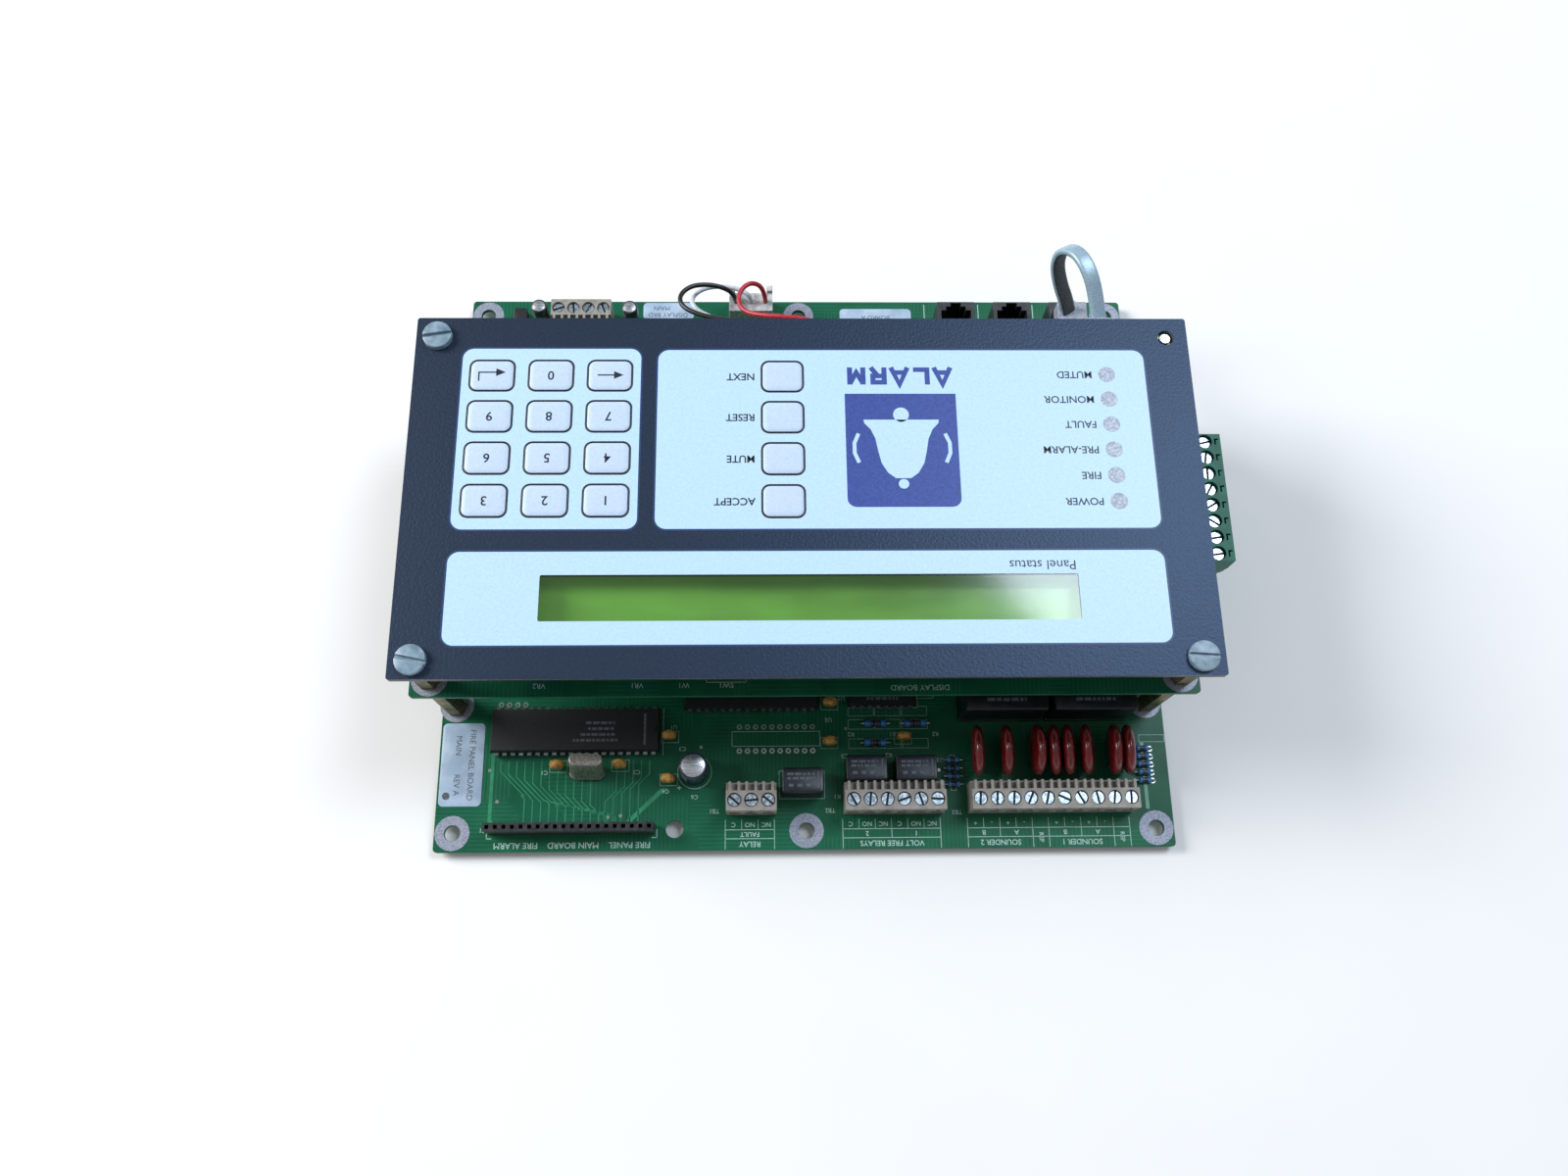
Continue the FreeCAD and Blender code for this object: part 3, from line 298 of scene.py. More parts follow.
class Form:
    """Closed shapes gathered into one mesh; each face remembers which finish it has."""

    def __init__(self):
        self.points, self.faces, self.finishes = [], [], []

    def loft(self, rings, finish_number=0, turn=None):
        """Skin over rings of equal length, closed by a flat cap at each end."""
        first, size = len(self.points), len(rings[0])
        for ring in rings:
            self.points += [turn @ Vector(p) if turn else Vector(p) for p in ring]
        for level in range(len(rings) - 1):
            low = first + level * size
            for i in range(size):
                j = (i + 1) % size
                self.faces.append((low + i, low + j, low + size + j, low + size + i))
                self.finishes.append(finish_number)
        last = first + (len(rings) - 1) * size
        self.faces += [tuple(range(first + size - 1, first - 1, -1)),
                       tuple(range(last, last + size))]
        self.finishes += [finish_number] * 2

    def block(self, x, y, length, width, low, high, corner=0.2, edge=0.15, finish_number=0,
              turn=None, foot=0.0):
        """Rounded block centred on x and y; foot rounds its lower edge too."""
        levels = [(low, foot), (low + foot, 0)] if foot else [(low, 0)]
        levels += [(high - edge, 0), (high - 0.3 * edge, 0.3 * edge), (high, edge)]
        rings = [[(px, py, z) for px, py in rounded(x, y, length - 2 * inset,
                                                    width - 2 * inset,
                                                    max(corner - inset, 0.02))]
                 for z, inset in levels]
        self.loft(rings, finish_number, turn)

    def lathe(self, profile, place, finish_number=0, steps=32, turn=None):
        """Turned shape: profile points are radius and height, place is its base centre."""
        rings = []
        for radius, height in profile:
            rings.append([(radius * math.cos(2 * math.pi * i / steps),
                           radius * math.sin(2 * math.pi * i / steps), height)
                          for i in range(steps)])
        move = Matrix.Translation(place) @ (turn.to_4x4() if turn else Matrix())
        self.loft(rings, finish_number, move)

    def add_object_mesh(self, mesh, place, finish_number=0):
        """Take in a ready mesh, which is in millimetres."""
        first = len(self.points)
        self.points += [place @ v.co for v in mesh.vertices]
        self.faces += [tuple(first + i for i in p.vertices) for p in mesh.polygons]
        self.finishes += [finish_number] * len(mesh.polygons)

    def piece(self, name, recipes, body="stack", slot=None, replaces=()):
        """Finish the form as one object that rides on a CAD body."""
        mesh = bpy.data.meshes.new(name)
        mesh.from_pydata([p * MM for p in self.points], [], self.faces)
        mesh.polygons.foreach_set("material_index", self.finishes)
        work = bmesh.new()
        work.from_mesh(mesh)
        bmesh.ops.remove_doubles(work, verts=work.verts, dist=1e-7)
        bmesh.ops.recalc_face_normals(work, faces=work.faces)
        work.to_mesh(mesh)
        work.free()
        mesh.polygons.foreach_set("use_smooth", [True] * len(mesh.polygons))
        mesh.set_sharp_from_angle(angle=math.radians(CREASE))
        for recipe in recipes:
            mesh.materials.append(finish(recipe))
        return settle(bpy.data.objects.new(name, mesh), body, slot, replaces)


def settle(thing, body, slot, replaces=()):
    """Put a finished piece in the scene, on its body, and hide the nodes it covers; its slot is
    not used.
    """
    if thing.name not in bpy.context.scene.collection.objects:
        bpy.context.scene.collection.objects.link(thing)
    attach(thing, body)
    if replaces:
        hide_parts(*replaces)
    return thing


def rounded(x, y, length, width, corner, steps=5):
    """Outline of a rectangle with round corners, anticlockwise from the right side."""
    corner = min(corner, length / 2 - 1e-4, width / 2 - 1e-4)
    outline = []
    for quarter, (sx, sy) in enumerate(((1, 1), (-1, 1), (-1, -1), (1, -1))):
        for step in range(steps + 1):
            angle = math.pi / 2 * (quarter + step / steps)
            outline.append((x + sx * (length / 2 - corner) + corner * math.cos(angle),
                            y + sy * (width / 2 - corner) + corner * math.sin(angle)))
    return outline


def circle(x, y, radius, steps=24):
    return [(x + radius * math.cos(2 * math.pi * i / steps),
             y + radius * math.sin(2 * math.pi * i / steps)) for i in range(steps)]


def flat_mesh(outlines, low, high):
    """Flat plate between two heights; an outline inside another is a hole in it."""
    curve = bpy.data.curves.new("outline", "CURVE")
    curve.dimensions = "2D"
    curve.fill_mode = "BOTH"
    curve.extrude = (high - low) / 2
    for outline in outlines:
        spline = curve.splines.new("POLY")
        spline.points.add(len(outline) - 1)
        for point, (x, y) in zip(spline.points, outline):
            point.co = (x, y, 0, 1)
        spline.use_cyclic_u = True
    return mesh_of_curve(curve)


def mesh_of_curve(curve):
    """Mesh of a curve or text, which is then thrown away."""
    holder = bpy.data.objects.new("holder", curve)
    mesh = bpy.data.meshes.new_from_object(holder)
    bpy.data.objects.remove(holder)
    bpy.data.curves.remove(curve)
    return mesh


def words_mesh(text, height, thick, align="CENTER", weight=0.0):
    """Raised lettering, its capitals height millimetres tall."""
    curve = bpy.data.curves.new("words", "FONT")
    curve.body = text
    curve.size = height / 0.69
    curve.align_x = align
    curve.align_y = "CENTER"
    curve.extrude = thick / 2
    curve.offset = weight
    curve.resolution_u = 3
    return mesh_of_curve(curve)


UPSIDE_DOWN = Matrix.Rotation(math.pi, 4, "Z")


def letter(form, text, x, y, z, height, finish_number=0, align="CENTER", thick=0.03, turn=None,
           **looks):
    """Print words that read from the far side, as the panel hangs."""
    mesh = words_mesh(text, height, thick, align, **looks)
    place = Matrix.Translation((x, y, z + thick / 2)) @ (turn or UPSIDE_DOWN)
    form.add_object_mesh(mesh, place, finish_number)
    bpy.data.meshes.remove(mesh)


def lay_flat(form, outlines, low, high, finish_number=0):
    mesh = flat_mesh(outlines, low, high)
    form.add_object_mesh(mesh, Matrix.Translation((0, 0, (low + high) / 2)), finish_number)
    bpy.data.meshes.remove(mesh)


# ---------------------------------------------------------------- finishes of the front
# Polycarbonate film, screen printed dark from behind: velvet grained, faint grey sheen. Real
# velvet grain is finer; drawn coarse enough to show.
screened_film = mottled(
    "screened_polycarbonate_film", ("alarm_face", "film"), 0.42, (0.8, 3), (0.72, 1.35),
    ends=(0.3, 0.7), bump=(0.1, 0.9), Specular_IOR_Level=0.62, IOR=1.58,
    Specular_Tint=linear("#b4d2ff"))


PALE_PRINT = dict(ends=(0.3, 0.7), bump=(0.03, 0.45), Specular_IOR_Level=0.3, IOR=1.58)

# The same film printed pale: a slightly blue white with a fine egg-shell grain.
panel_film = mottled("pale_printed_film", ("alarm_face", "panel"), 0.4, (0.8, 3), (0.93, 1.03),
                     **PALE_PRINT)

# Embossed pads of the pale film, a touch warmer where the emboss stretched the print.
key_film = mottled("embossed_key_film", "#c3d6ee", 0.4, (0.8, 3, (1, 1, 1), 0.3), (0.93, 1.03),
                   **PALE_PRINT)

# Screen printing ink seen through the film: near black, edges slightly uneven.
legend_ink = mottled("legend_ink", ("alarm_face", "ink"), 0.45, (0.35,), (0.8, 1.8))

# Dark blue border ink where the pale print overlaps the surround.
outline_ink = mottled("border_ink", ("alarm_face", "outline"), 0.42, (0.5,), (0.85, 1.3))

# Strong blue spot colour, with the small mottling of a screen mesh.
badge_ink = mottled("badge_ink", ("alarm_face", "badge"), 0.42, (0.7, 3), (0.85, 1.25))

# Clear unprinted spots over the lamps, frosted, with the grey of the gap behind.
lamp_film = mottled(
    "frosted_lamp_window", "#9aa6b8", 0.35, (0.7, 2), ("#8791a3", "#b9c3d2"), bump=(0.05, 0.5),
    Specular_IOR_Level=0.5)


def window_film():
    """Clear glossy polyester window: mirrors a little of the lights, more at a slant."""
    material = bpy.data.materials.new("clear_polyester_window")
    material.use_nodes = True
    tree = material.node_tree
    tree.nodes.clear()
    clear = add_node(tree, "ShaderNodeBsdfTransparent", {"Color": linear("#f3f7f2")})
    gloss = add_node(tree, "ShaderNodeBsdfAnisotropic", {"Roughness": 0.1})
    slant = add_node(tree, "ShaderNodeLayerWeight", {"Blend": 0.5})
    steep = add_node(tree, "ShaderNodeMath", {0: slant.outputs["Facing"], 1: 5.0},
                     operation="POWER")
    share = add_node(tree, "ShaderNodeMapRange", {
        "Value": steep.outputs[0], "To Min": 0.06, "To Max": 1.0})
    both = add_node(tree, "ShaderNodeMixShader", {
        0: share.outputs[0], 1: clear.outputs[0], 2: gloss.outputs[0]})
    add_node(tree, "ShaderNodeOutputMaterial", {"Surface": both.outputs[0]})
    return material


# Liquid crystal: yellow green, faintly clouded, glossy, with a weak painted green glow that stands
# in for light falling on it.
display_glass = mottled(
    "liquid_crystal_glass", ("alarm_face", "display"), 0.2, (14, 2, (0.4, 1, 1)), (0.75, 1.2),
    Specular_IOR_Level=0.4, Emission_Strength=0.2, Emission_Color=linear("#4c9426"))

# Black painted tin frame of the display: dark, thin satin paint.
tin_bezel = mottled("painted_tin_bezel", "#17191b", 0.42, (0.6,), bump=(0.02, 0.4))

# Anodised aluminium plate behind the film, dark like the film's edge.
plate_metal = mottled(
    "anodised_aluminium", "#34383f", 0.42, (0.5, 2, (0.06, 1, 1)), ("#2b2e34", "#454a53"),
    bump=(0.01, 0.5), Metallic=0.8)

# Clear polyester switch sheet with silver tracks: milky grey edge.
switch_sheet = mottled("polyester_switch_sheet", "#9aa0a6", 0.4, (3,), ("#8b9197", "#b4b9bd"))


# ---------------------------------------------------------------- finishes of metal and wire
# Natural nylon 6: milky, waxy, with a soft highlight and light bleeding into it.
nylon = mottled(
    "natural_nylon", "#7f96a6", 0.36, (2.5,), ("#688192", "#8ca3b3"), bump=(0.02, 0.3),
    grit=(0.5,), Subsurface_Weight=0.2, Subsurface_Scale=0.0015,
    Subsurface_Radius=(1.0, 0.95, 0.85), IOR=1.53)

# Nickel plated brass standoff gone olive: satin metal with fine turning marks.
turned_brass = mottled(
    "dull_plated_brass", "#7d7450", 0.42, (3, 3), ("#5f5839", "#978b62"), bump=(0.01, 0.5),
    grit=(0.4, 2, (0.1, 0.1, 1)), Metallic=1.0)

# Zinc plated steel screws: bright, faintly blue, with small scratches.
zinc_steel = mottled(
    "zinc_plated_steel", "#bccbd6", 0.3, (0.8, 4), ("#8fa0ae", "#dbe9f2"), bump=(0.02, 0.3),
    sheen=(0.18, 0.45), Metallic=1.0)

# Tin plated leads: silver grey, soft reflection.
tinned = mottled("tin_plate", "#b9bcc0", 0.32, (1.2, 3), ("#8f9398", "#d5d8db"), Metallic=1.0)

# Tin lead solder: bright wetted cones with a slightly frosty skin.
solder = mottled(
    "tin_lead_solder", "#c6c8cc", 0.28, (0.5, 3), bump=(0.03, 0.4), sheen=(0.18, 0.5),
    Metallic=1.0)

# Gold flashed spring contacts.
gold_plate = mottled("gold_flash", "#c9a24a", 0.3, (0.9,), ("#a98534", "#e2c06a"), Metallic=1.0)

# Drawn nickel silver can, dulled by age: warm grey with soft streaks from drawing.
crystal_steel = mottled(
    "drawn_nickel_silver", "#a39d94", 0.4, (0.7, 3, (1, 1, 0.15)), ("#8d877f", "#bab5ab"),
    bump=(0.01, 0.4), Metallic=0.7)

# Bare aluminium top of a capacitor: bright satin with rolling lines.
can_aluminium = mottled(
    "rolled_aluminium", "#d5dae0", 0.3, (0.5, 2, (0.1, 1, 1)), ("#b9bec6", "#eef1f4"),
    bump=(0.01, 0.4), Metallic=1.0)


# Extruded PVC insulation: soft gloss, faint lengthwise streaks, slightly uneven.
black_pvc, white_pvc, red_pvc = [
    mottled(f"{tone}_pvc_insulation", ("alarm_cords", tone), 0.38, (1.5, 3), (0.85, 1.15),
            bump=(0.03, 0.3), grit=(0.6,), Coat_Weight=0.15, Coat_Roughness=0.3)
    for tone in ("black", "white", "red")]

# Silver satin PVC of telephone cable: grey with metal flake, a soft sheen.
cable_sheath = mottled(
    "silver_satin_pvc", ("alarm_cords", "sheath"), 0.36, (0.35, 2), (0.82, 1.18), bump=(0.03, 0.3),
    grit=(1.2, 2), Metallic=0.25, Coat_Weight=0.2, Coat_Roughness=0.25)


# ---------------------------------------------------------------- finishes of the boards
def solder_mask():
    """Glass epoxy laminate under green lacquer: tracks show as lighter bands in it."""
    board = settings("alarm_board")
    material, tree, shader = surface("lacquered_glass_epoxy", board.mask, 0.36,
                                     Specular_IOR_Level=0.22)
    place = add_node(tree, "ShaderNodeTexCoord")
    cells = add_node(tree, "ShaderNodeTexVoronoi", {
        "Vector": place.outputs["Object"], "Scale": 1 / (17 * MM)}, distance="CHEBYCHEV")
    axes = add_node(tree, "ShaderNodeSeparateXYZ", {"Vector": place.outputs["Object"]})
    pick = add_node(tree, "ShaderNodeSeparateColor", {"Color": cells.outputs["Color"]})
    across = add_node(tree, "ShaderNodeMath", {0: pick.outputs[0], 1: 0.5},
                      operation="GREATER_THAN")
    along = add_node(tree, "ShaderNodeMix", {
        "Factor": across.outputs[0], "A": axes.outputs["X"], "B": axes.outputs["Y"]},
        data_type="FLOAT")
    pitch = add_node(tree, "ShaderNodeMath", {0: along.outputs[0], 1: 1 / (1.27 * MM)},
                     operation="MULTIPLY")
    wave = add_node(tree, "ShaderNodeMath", {0: pitch.outputs[0]}, operation="FRACT")
    bands = add_node(tree, "ShaderNodeMath", {0: wave.outputs[0], 1: 0.42},
                     operation="LESS_THAN")
    busy = add_node(tree, "ShaderNodeMath", {0: pick.outputs[1], 1: 0.45},
                    operation="GREATER_THAN")
    tracks = add_node(tree, "ShaderNodeMath", {0: bands.outputs[0], 1: busy.outputs[0]},
                      operation="MULTIPLY")
    mottle = grain(tree, 9, 3)
    dull = add_node(tree, "ShaderNodeMapRange", {
        "Value": mottle, "To Min": 0.0, "To Max": 0.42})
    total = add_node(tree, "ShaderNodeMath", {0: tracks.outputs[0], 1: 0.14, 2: dull.outputs[0]},
                     operation="MULTIPLY_ADD")
    mix = add_node(tree, "ShaderNodeMix", {
        "Factor": total.outputs[0], "A": list(board.mask), "B": list(board.mask_copper)},
        data_type="RGBA")
    tree.links.new(mix.outputs["Result"], shader.inputs["Base Color"])
    relief(tree, shader, tracks.outputs[0], 0.02, 0.4)
    return material


# Copper track under the green lacquer: lighter, a shade raised, glossy.
masked_copper = mottled(
    "lacquered_copper_track", ("alarm_board", "mask_copper"), 0.3, (4, 3), (0.8, 1.25),
    Coat_Weight=0.3, Coat_Roughness=0.2)

# Levelled solder ring under a screw head: flat, scuffed, lilac grey and dull.
dull_ring = mottled(
    "scuffed_solder_ring", "#9296a6", 0.5, (0.45, 4), ("#7d8296", "#a6acba"), bump=(0.03, 0.4),
    Metallic=0.35)

# Painted shade: near black in the slots and round the heads of the clamping screws, where the
# recesses fall into shade.
screw_shade_paint = mottled("screw_slot_painted_shade", "#12171b", 0.6, (0.5,), ("#0c1013", "#232a30"))

# Painted shade on the inner side of the bent cable: the same satin skin, drawn dark where the
# inside of the loop is in shadow.
shaded_sheath = mottled("painted_shade_cable_inside", "#3c4146", 0.5, (0.4, 2), ("#2c3034", "#4d545a"))

# White marking ink on the lacquer, thin at its edges.
silk_ink = mottled("silk_screen_ink", ("alarm_board", "silk"), 0.55, (0.6, 3), (0.8, 1.1))

# Glossy white paper label, slightly blue, with faint creases.
label_paper = mottled(
    "coated_label_paper", "#a9bfd6", 0.35, (5, 3), ("#9cb3cb", "#b5cae0"), bump=(0.05, 0.3),
    grit=(7, 2))

# Thermal print on the labels: dark grey.
label_print = mottled("thermal_print", "#3c424a", 0.5, (0.4,), ("#2b3036", "#69707a"))

# Moulded black epoxy package: matt, spark eroded grain.
chip_epoxy = mottled(
    "moulded_black_epoxy", "#121315", 0.5, (0.35, 2), ("#0d0f11", "#1f2226"), bump=(0.03, 0.5))

# Grey laser or pad printing on the packages.
chip_print = mottled("package_print", "#565d66", 0.6, (0.3,), ("#454b53", "#6b737d"))

# Black glass filled polyester case, smooth with a soft shine.
relay_case = mottled(
    "black_polyester_case", "#14171c", 0.3, (3,), ("#101216", "#20242b"), bump=(0.02, 0.3),
    grit=(1.2, 2))

# Blue grey printed top of a relay.
relay_print = mottled("relay_top_print", "#2b3644", 0.4, (0.8, 3), ("#161d27", "#27313d"))

# Dipped epoxy powder coat: deep red, glossy, orange-peel surface with pinholes.
varistor_coat = mottled(
    "dipped_red_epoxy", ("alarm_board", "varistor"), 0.28, (1.1, 3), (0.6, 1.35), bump=(0.12, 0.6),
    Coat_Weight=0.4, Coat_Roughness=0.12)

# Glass filled polyamide terminal block: warm light grey, satin, faint flow marks.
moulded_grey = mottled(
    "moulded_grey_polyamide", ("alarm_board", "terminal"), 0.42, (2.5, 3, (1, 1, 0.4)),
    (0.82, 1.12), bump=(0.02, 0.4), grit=(0.4, 2))

# Glass filled polyamide plug: blue green, satin.
moulded_green = mottled(
    "moulded_green_polyamide", ("alarm_board", "plug"), 0.4, (2.2, 3), (0.8, 1.15),
    bump=(0.02, 0.4), grit=(0.4, 2), Specular_IOR_Level=0.25)

# Black polyester jack body, moulded with a slight shine.
jack_plastic = mottled(
    "moulded_black_polyester", "#191b20", 0.36, (2.5,), ("#121418", "#2a2d34"), bump=(0.02, 0.3),
    grit=(0.5,))

# Clear moulded plug: glassy, a little lilac from the light inside it.
clear_polycarbonate = mottled(
    "clear_polycarbonate", "#cdd5ea", 0.12, (2, 2), ("#b4bfd8", "#e6ecf8"),
    Transmission_Weight=0.45, IOR=1.58)

# Natural nylon housing of the wire connectors: grey white, dull.
connector_nylon = mottled(
    "moulded_white_nylon", "#b9babb", 0.42, (1.6, 3), ("#9b9d9f", "#d0d1d0"), bump=(0.02, 0.3),
    grit=(0.6,), Subsurface_Weight=0.12, Subsurface_Scale=0.001)

# Black moulded strip and header plastic, slightly worn at the top.
header_plastic = mottled("black_header_plastic", "#1b1c1f", 0.42, (1.4, 3), ("#131416", "#303237"))

# Shrunk PVC sleeve of the tall capacitor: dark blue, glossy.
blue_sleeve = mottled(
    "dark_blue_sleeve", "#1d2138", 0.25, (3, 2), ("#171a2c", "#2c3252"), Coat_Weight=0.4,
    Coat_Roughness=0.1)

# Shrunk black PVC sleeve of a small capacitor.
black_sleeve = mottled(
    "black_sleeve", "#16181c", 0.28, (2,), ("#101215", "#262a30"), Coat_Weight=0.3)

# Dipped ceramic capacitor: ochre phenolic coat, waxy.
ceramic_dip = mottled(
    "dipped_ochre_phenolic", "#b8873a", 0.42, (1.3, 3), ("#94682a", "#cf9f50"), bump=(0.05, 0.4),
    grit=(0.7,))

# Blue lacquer of metal film resistors: glossy, with thin stripes painted over it.
resistor_lacquer = mottled(
    "blue_resistor_lacquer", "#2b6fae", 0.3, (1.2,), ("#215a92", "#3d86c8"), Coat_Weight=0.3)


# Code stripes painted over the lacquer.
brown_stripe, black_stripe = [
    mottled(f"{tone}_stripe_paint", code, 0.35, (0.5,), (0.85, 1.15))
    for tone, code in (("brown", "#4a2318"), ("black", "#141414"))]

# Blue moulded thermoset of a trimmer.
trimmer_blue = mottled("blue_thermoset", "#1f5fb0", 0.4, (1.5,), ("#184c90", "#2f74c8"))

# White thermoset rotor and sliders, slightly grey with handling.
rotor_white = mottled("white_thermoset", "#d9dad6", 0.42, (1.1,), ("#c2c3be", "#e8e9e6"))

# Red moulded case of the switch bank.
switch_red = mottled("red_switch_case", "#9c2a22", 0.4, (1.5,), ("#82211b", "#b33a30"))

# Clear water white lamp lens.
lamp_epoxy = mottled(
    "clear_lamp_epoxy", "#d6dade", 0.12, (2.0,), ("#c4c9ce", "#e6e9ec"), Transmission_Weight=0.6,
    IOR=1.52)

# Plain pale studio floor, with a trace of unevenness.
floor_paint = mottled("matt_studio_floor", ("alarm_stage", "floor"), 0.9, (60, 2), (0.985, 1.0))


CAD_FINISHES = {
    "main_board": solder_mask,
    "display_board": solder_mask,
    "lcd_board": solder_mask,
    "front_plate": plate_metal,
    "switch_membrane": switch_sheet,
    "graphic_overlay": screened_film,
    "display_window": window_film,
    "lower_standoffs": turned_brass,
    "upper_standoffs": turned_brass,
    "plate_screws": nylon,
    "base_screws": zinc_steel,
    "lcd_frame": tin_bezel,
    "lcd_glass": display_glass,
    "status_lamps": lamp_epoxy,
    "terminal_blocks": moulded_grey,
    "terminal_screws": zinc_steel,
    "plug_header": moulded_green,
    "screw_plug": moulded_green,
    "plug_screws": zinc_steel,
    "cable_jacks": jack_plastic,
    "cable_plugs": clear_polycarbonate,
    "wire_connectors": connector_nylon,
    "socket_strip": header_plastic,
    "processor_chip": chip_epoxy,
    "logic_chips": chip_epoxy,
    "signal_relays": relay_case,
    "sounder_relays": relay_case,
    "varistors": varistor_coat,
    "crystal_can": crystal_steel,
    "electrolytic_capacitors": blue_sleeve,
    "ceramic_capacitors": ceramic_dip,
    "resistors": resistor_lacquer,
    "trimmer_bodies": trimmer_blue,
    "dip_switch": switch_red,
    "flat_cable": cable_sheath,
    "black_wire": black_pvc,
    "white_wire": white_pvc,
    "red_wire": red_pvc,
}

left, right = board_low.x, board_high.x
near, far = board_low.y, board_high.y


# ---------------------------------------------------------------- repeats by node trees
def repeat_over(name, places, shape, sizes, recipe, body="stack", slot=None, turns=None,
                upside_down=False):
    """Copy one small shape to every place with a node tree, and keep the result as a mesh."""
    tree = bpy.data.node_groups.new(name, "GeometryNodeTree")
    for way in ("INPUT", "OUTPUT"):
        tree.interface.new_socket("Geometry", in_out=way, socket_type="NodeSocketGeometry")
    sockets = {key: tree.interface.new_socket(key, in_out="INPUT",
                                              socket_type="NodeSocketFloat")
               for key in sizes}
    start = add_node(tree, "NodeGroupInput")
    turn = add_node(tree, "GeometryNodeInputNamedAttribute", {"Name": "turn"},
                    data_type="FLOAT_VECTOR")
    copies = add_node(tree, "GeometryNodeInstanceOnPoints", {
        "Points": start.outputs["Geometry"], "Instance": shape(tree, start.outputs),
        "Rotation": turn.outputs["Attribute"]})
    real = add_node(tree, "GeometryNodeRealizeInstances", {"Geometry": copies.outputs[0]})
    painted = add_node(tree, "GeometryNodeSetMaterial", {
        "Geometry": real.outputs[0], "Material": finish(recipe)})
    add_node(tree, "NodeGroupOutput", {"Geometry": painted.outputs[0]})

    mesh = bpy.data.meshes.new(name)
    mesh.from_pydata([Vector(place) * MM for place in places], [], [])
    angles = mesh.attributes.new("turn", "FLOAT_VECTOR", "POINT")
    for spot, angle in zip(angles.data, turns or [0.0] * len(places)):
        spot.vector = (math.pi if upside_down else 0, 0, math.radians(angle))
    thing = bpy.data.objects.new(name, mesh)
    bpy.context.scene.collection.objects.link(thing)
    copier = thing.modifiers.new("copies", "NODES")
    copier.node_group = tree
    for key, size in sizes.items():
        copier[sockets[key].identifier] = size * MM
    ready = thing.evaluated_get(bpy.context.evaluated_depsgraph_get())
    plain = bpy.data.meshes.new_from_object(ready)
    thing.modifiers.remove(copier)
    plain.set_sharp_from_angle(angle=math.radians(35))
    thing.data = plain
    if not plain.polygons:
        raise RuntimeError(f"{name}: the node tree made no faces")
    return settle(thing, body, slot)


def ring_shape(tree, sizes):
    """Flat ring: a circle swept by a small rectangle."""
    path = add_node(tree, "GeometryNodeCurvePrimitiveCircle", {
        "Resolution": 20, "Radius": sizes["Middle radius"]})
    section = add_node(tree, "GeometryNodeCurvePrimitiveQuadrilateral", {
        "Width": sizes["Width"], "Height": sizes["Height"]})
    return add_node(tree, "GeometryNodeCurveToMesh", {
        "Curve": path.outputs[0], "Profile Curve": section.outputs[0]}).outputs[0]


def cone_shape(tree, sizes):
    """Solder fillet: a cone with a blunt tip."""
    return add_node(tree, "GeometryNodeMeshCone", {
        "Vertices": 12, "Radius Bottom": sizes["Base radius"],
        "Radius Top": sizes["Tip radius"], "Depth": sizes["Height"]}).outputs[0]


def bar_shape(tree, sizes):
    """Small rectangular bar, as a leg or a printed mark."""
    size = add_node(tree, "ShaderNodeCombineXYZ", {
        "X": sizes["Length"], "Y": sizes["Width"], "Z": sizes["Height"]})
    return add_node(tree, "GeometryNodeMeshCube", {"Size": size.outputs[0]}).outputs[0]


def ribbon(form, route, width, low, high, finish_number=0):
    """Flat strip of even width along a route on a board."""
    rings = []
    for i, (x, y) in enumerate(route):
        here = Vector((x, y))
        back = (here - Vector(route[i - 1])).normalized() if i else None
        ahead = (Vector(route[i + 1]) - here).normalized() if i + 1 < len(route) else None
        along = ((back or ahead) + (ahead or back)).normalized()
        side = Vector((-along.y, along.x)) * width / 2 / max(0.5, along.dot(ahead or back))
        rings.append([(x + side.x, y + side.y, low), (x - side.x, y - side.y, low),
                      (x - side.x, y - side.y, high), (x + side.x, y + side.y, high)])
    form.loft(rings, finish_number)


class AlarmStep:
    """What every step shares."""

    bl_options = {"REGISTER", "UNDO"}


# ---------------------------------------------------------------- cords
FLAT_CABLE_ROUTE = (
    (88.8, 78.4, 23.1), (87.4, 79.4, 27.4), (84.2, 82.4, 33.2), (81.8, 86.0, 39.8),
    (82.4, 87.2, 46.2), (85.6, 83.0, 51.2), (88.8, 76.2, 51.0), (91.4, 69.4, 46.6),
    (92.5, 62.6, 42.9),
)
BLACK_WIRE_ROUTE = (
    (-21.5, 88.4, 12.0), (-21.7, 88.0, 16.2), (-24.6, 88.6, 20.2), (-30.8, 89.0, 22.2),
    (-37.0, 87.4, 23.4), (-40.4, 82.8, 24.2), (-38.4, 77.8, 25.4), (-31.6, 74.2, 26.6),
    (-21.0, 71.4, 28.4), (-10.0, 69.0, 30.2), (-0.6, 65.2, 31.4), (0.9, 59.6, 31.6),
    (0.9, 55.3, 31.6),
)
WHITE_WIRE_ROUTE = (
    (-16.5, 88.4, 12.0), (-16.8, 89.2, 14.8), (-20.2, 91.0, 15.8), (-25.6, 91.8, 16.4),
    (-31.8, 90.8, 17.2), (-36.2, 87.2, 17.8), (-36.0, 82.6, 18.4), (-31.2, 78.6, 19.4),
    (-23.8, 75.0, 21.0), (-14.0, 72.2, 22.8), (-3.4, 70.2, 26.2), (4.4, 66.4, 30.2),
    (5.9, 60.2, 31.6), (5.9, 55.3, 31.6),
)
RED_WIRE_ROUTE = (
    (-11.5, 88.4, 12.0), (-11.8, 88.9, 16.0), (-13.4, 89.9, 20.4), (-17.0, 89.2, 22.8),
    (-20.2, 86.0, 22.8), (-20.6, 81.4, 22.6), (-18.4, 77.8, 23.4), (-13.6, 75.4, 25.4),
    (-7.2, 73.6, 27.6), (1.8, 71.8, 29.4), (9.0, 67.2, 31.2), (10.9, 60.6, 31.6),
    (10.9, 55.3, 31.6),
)
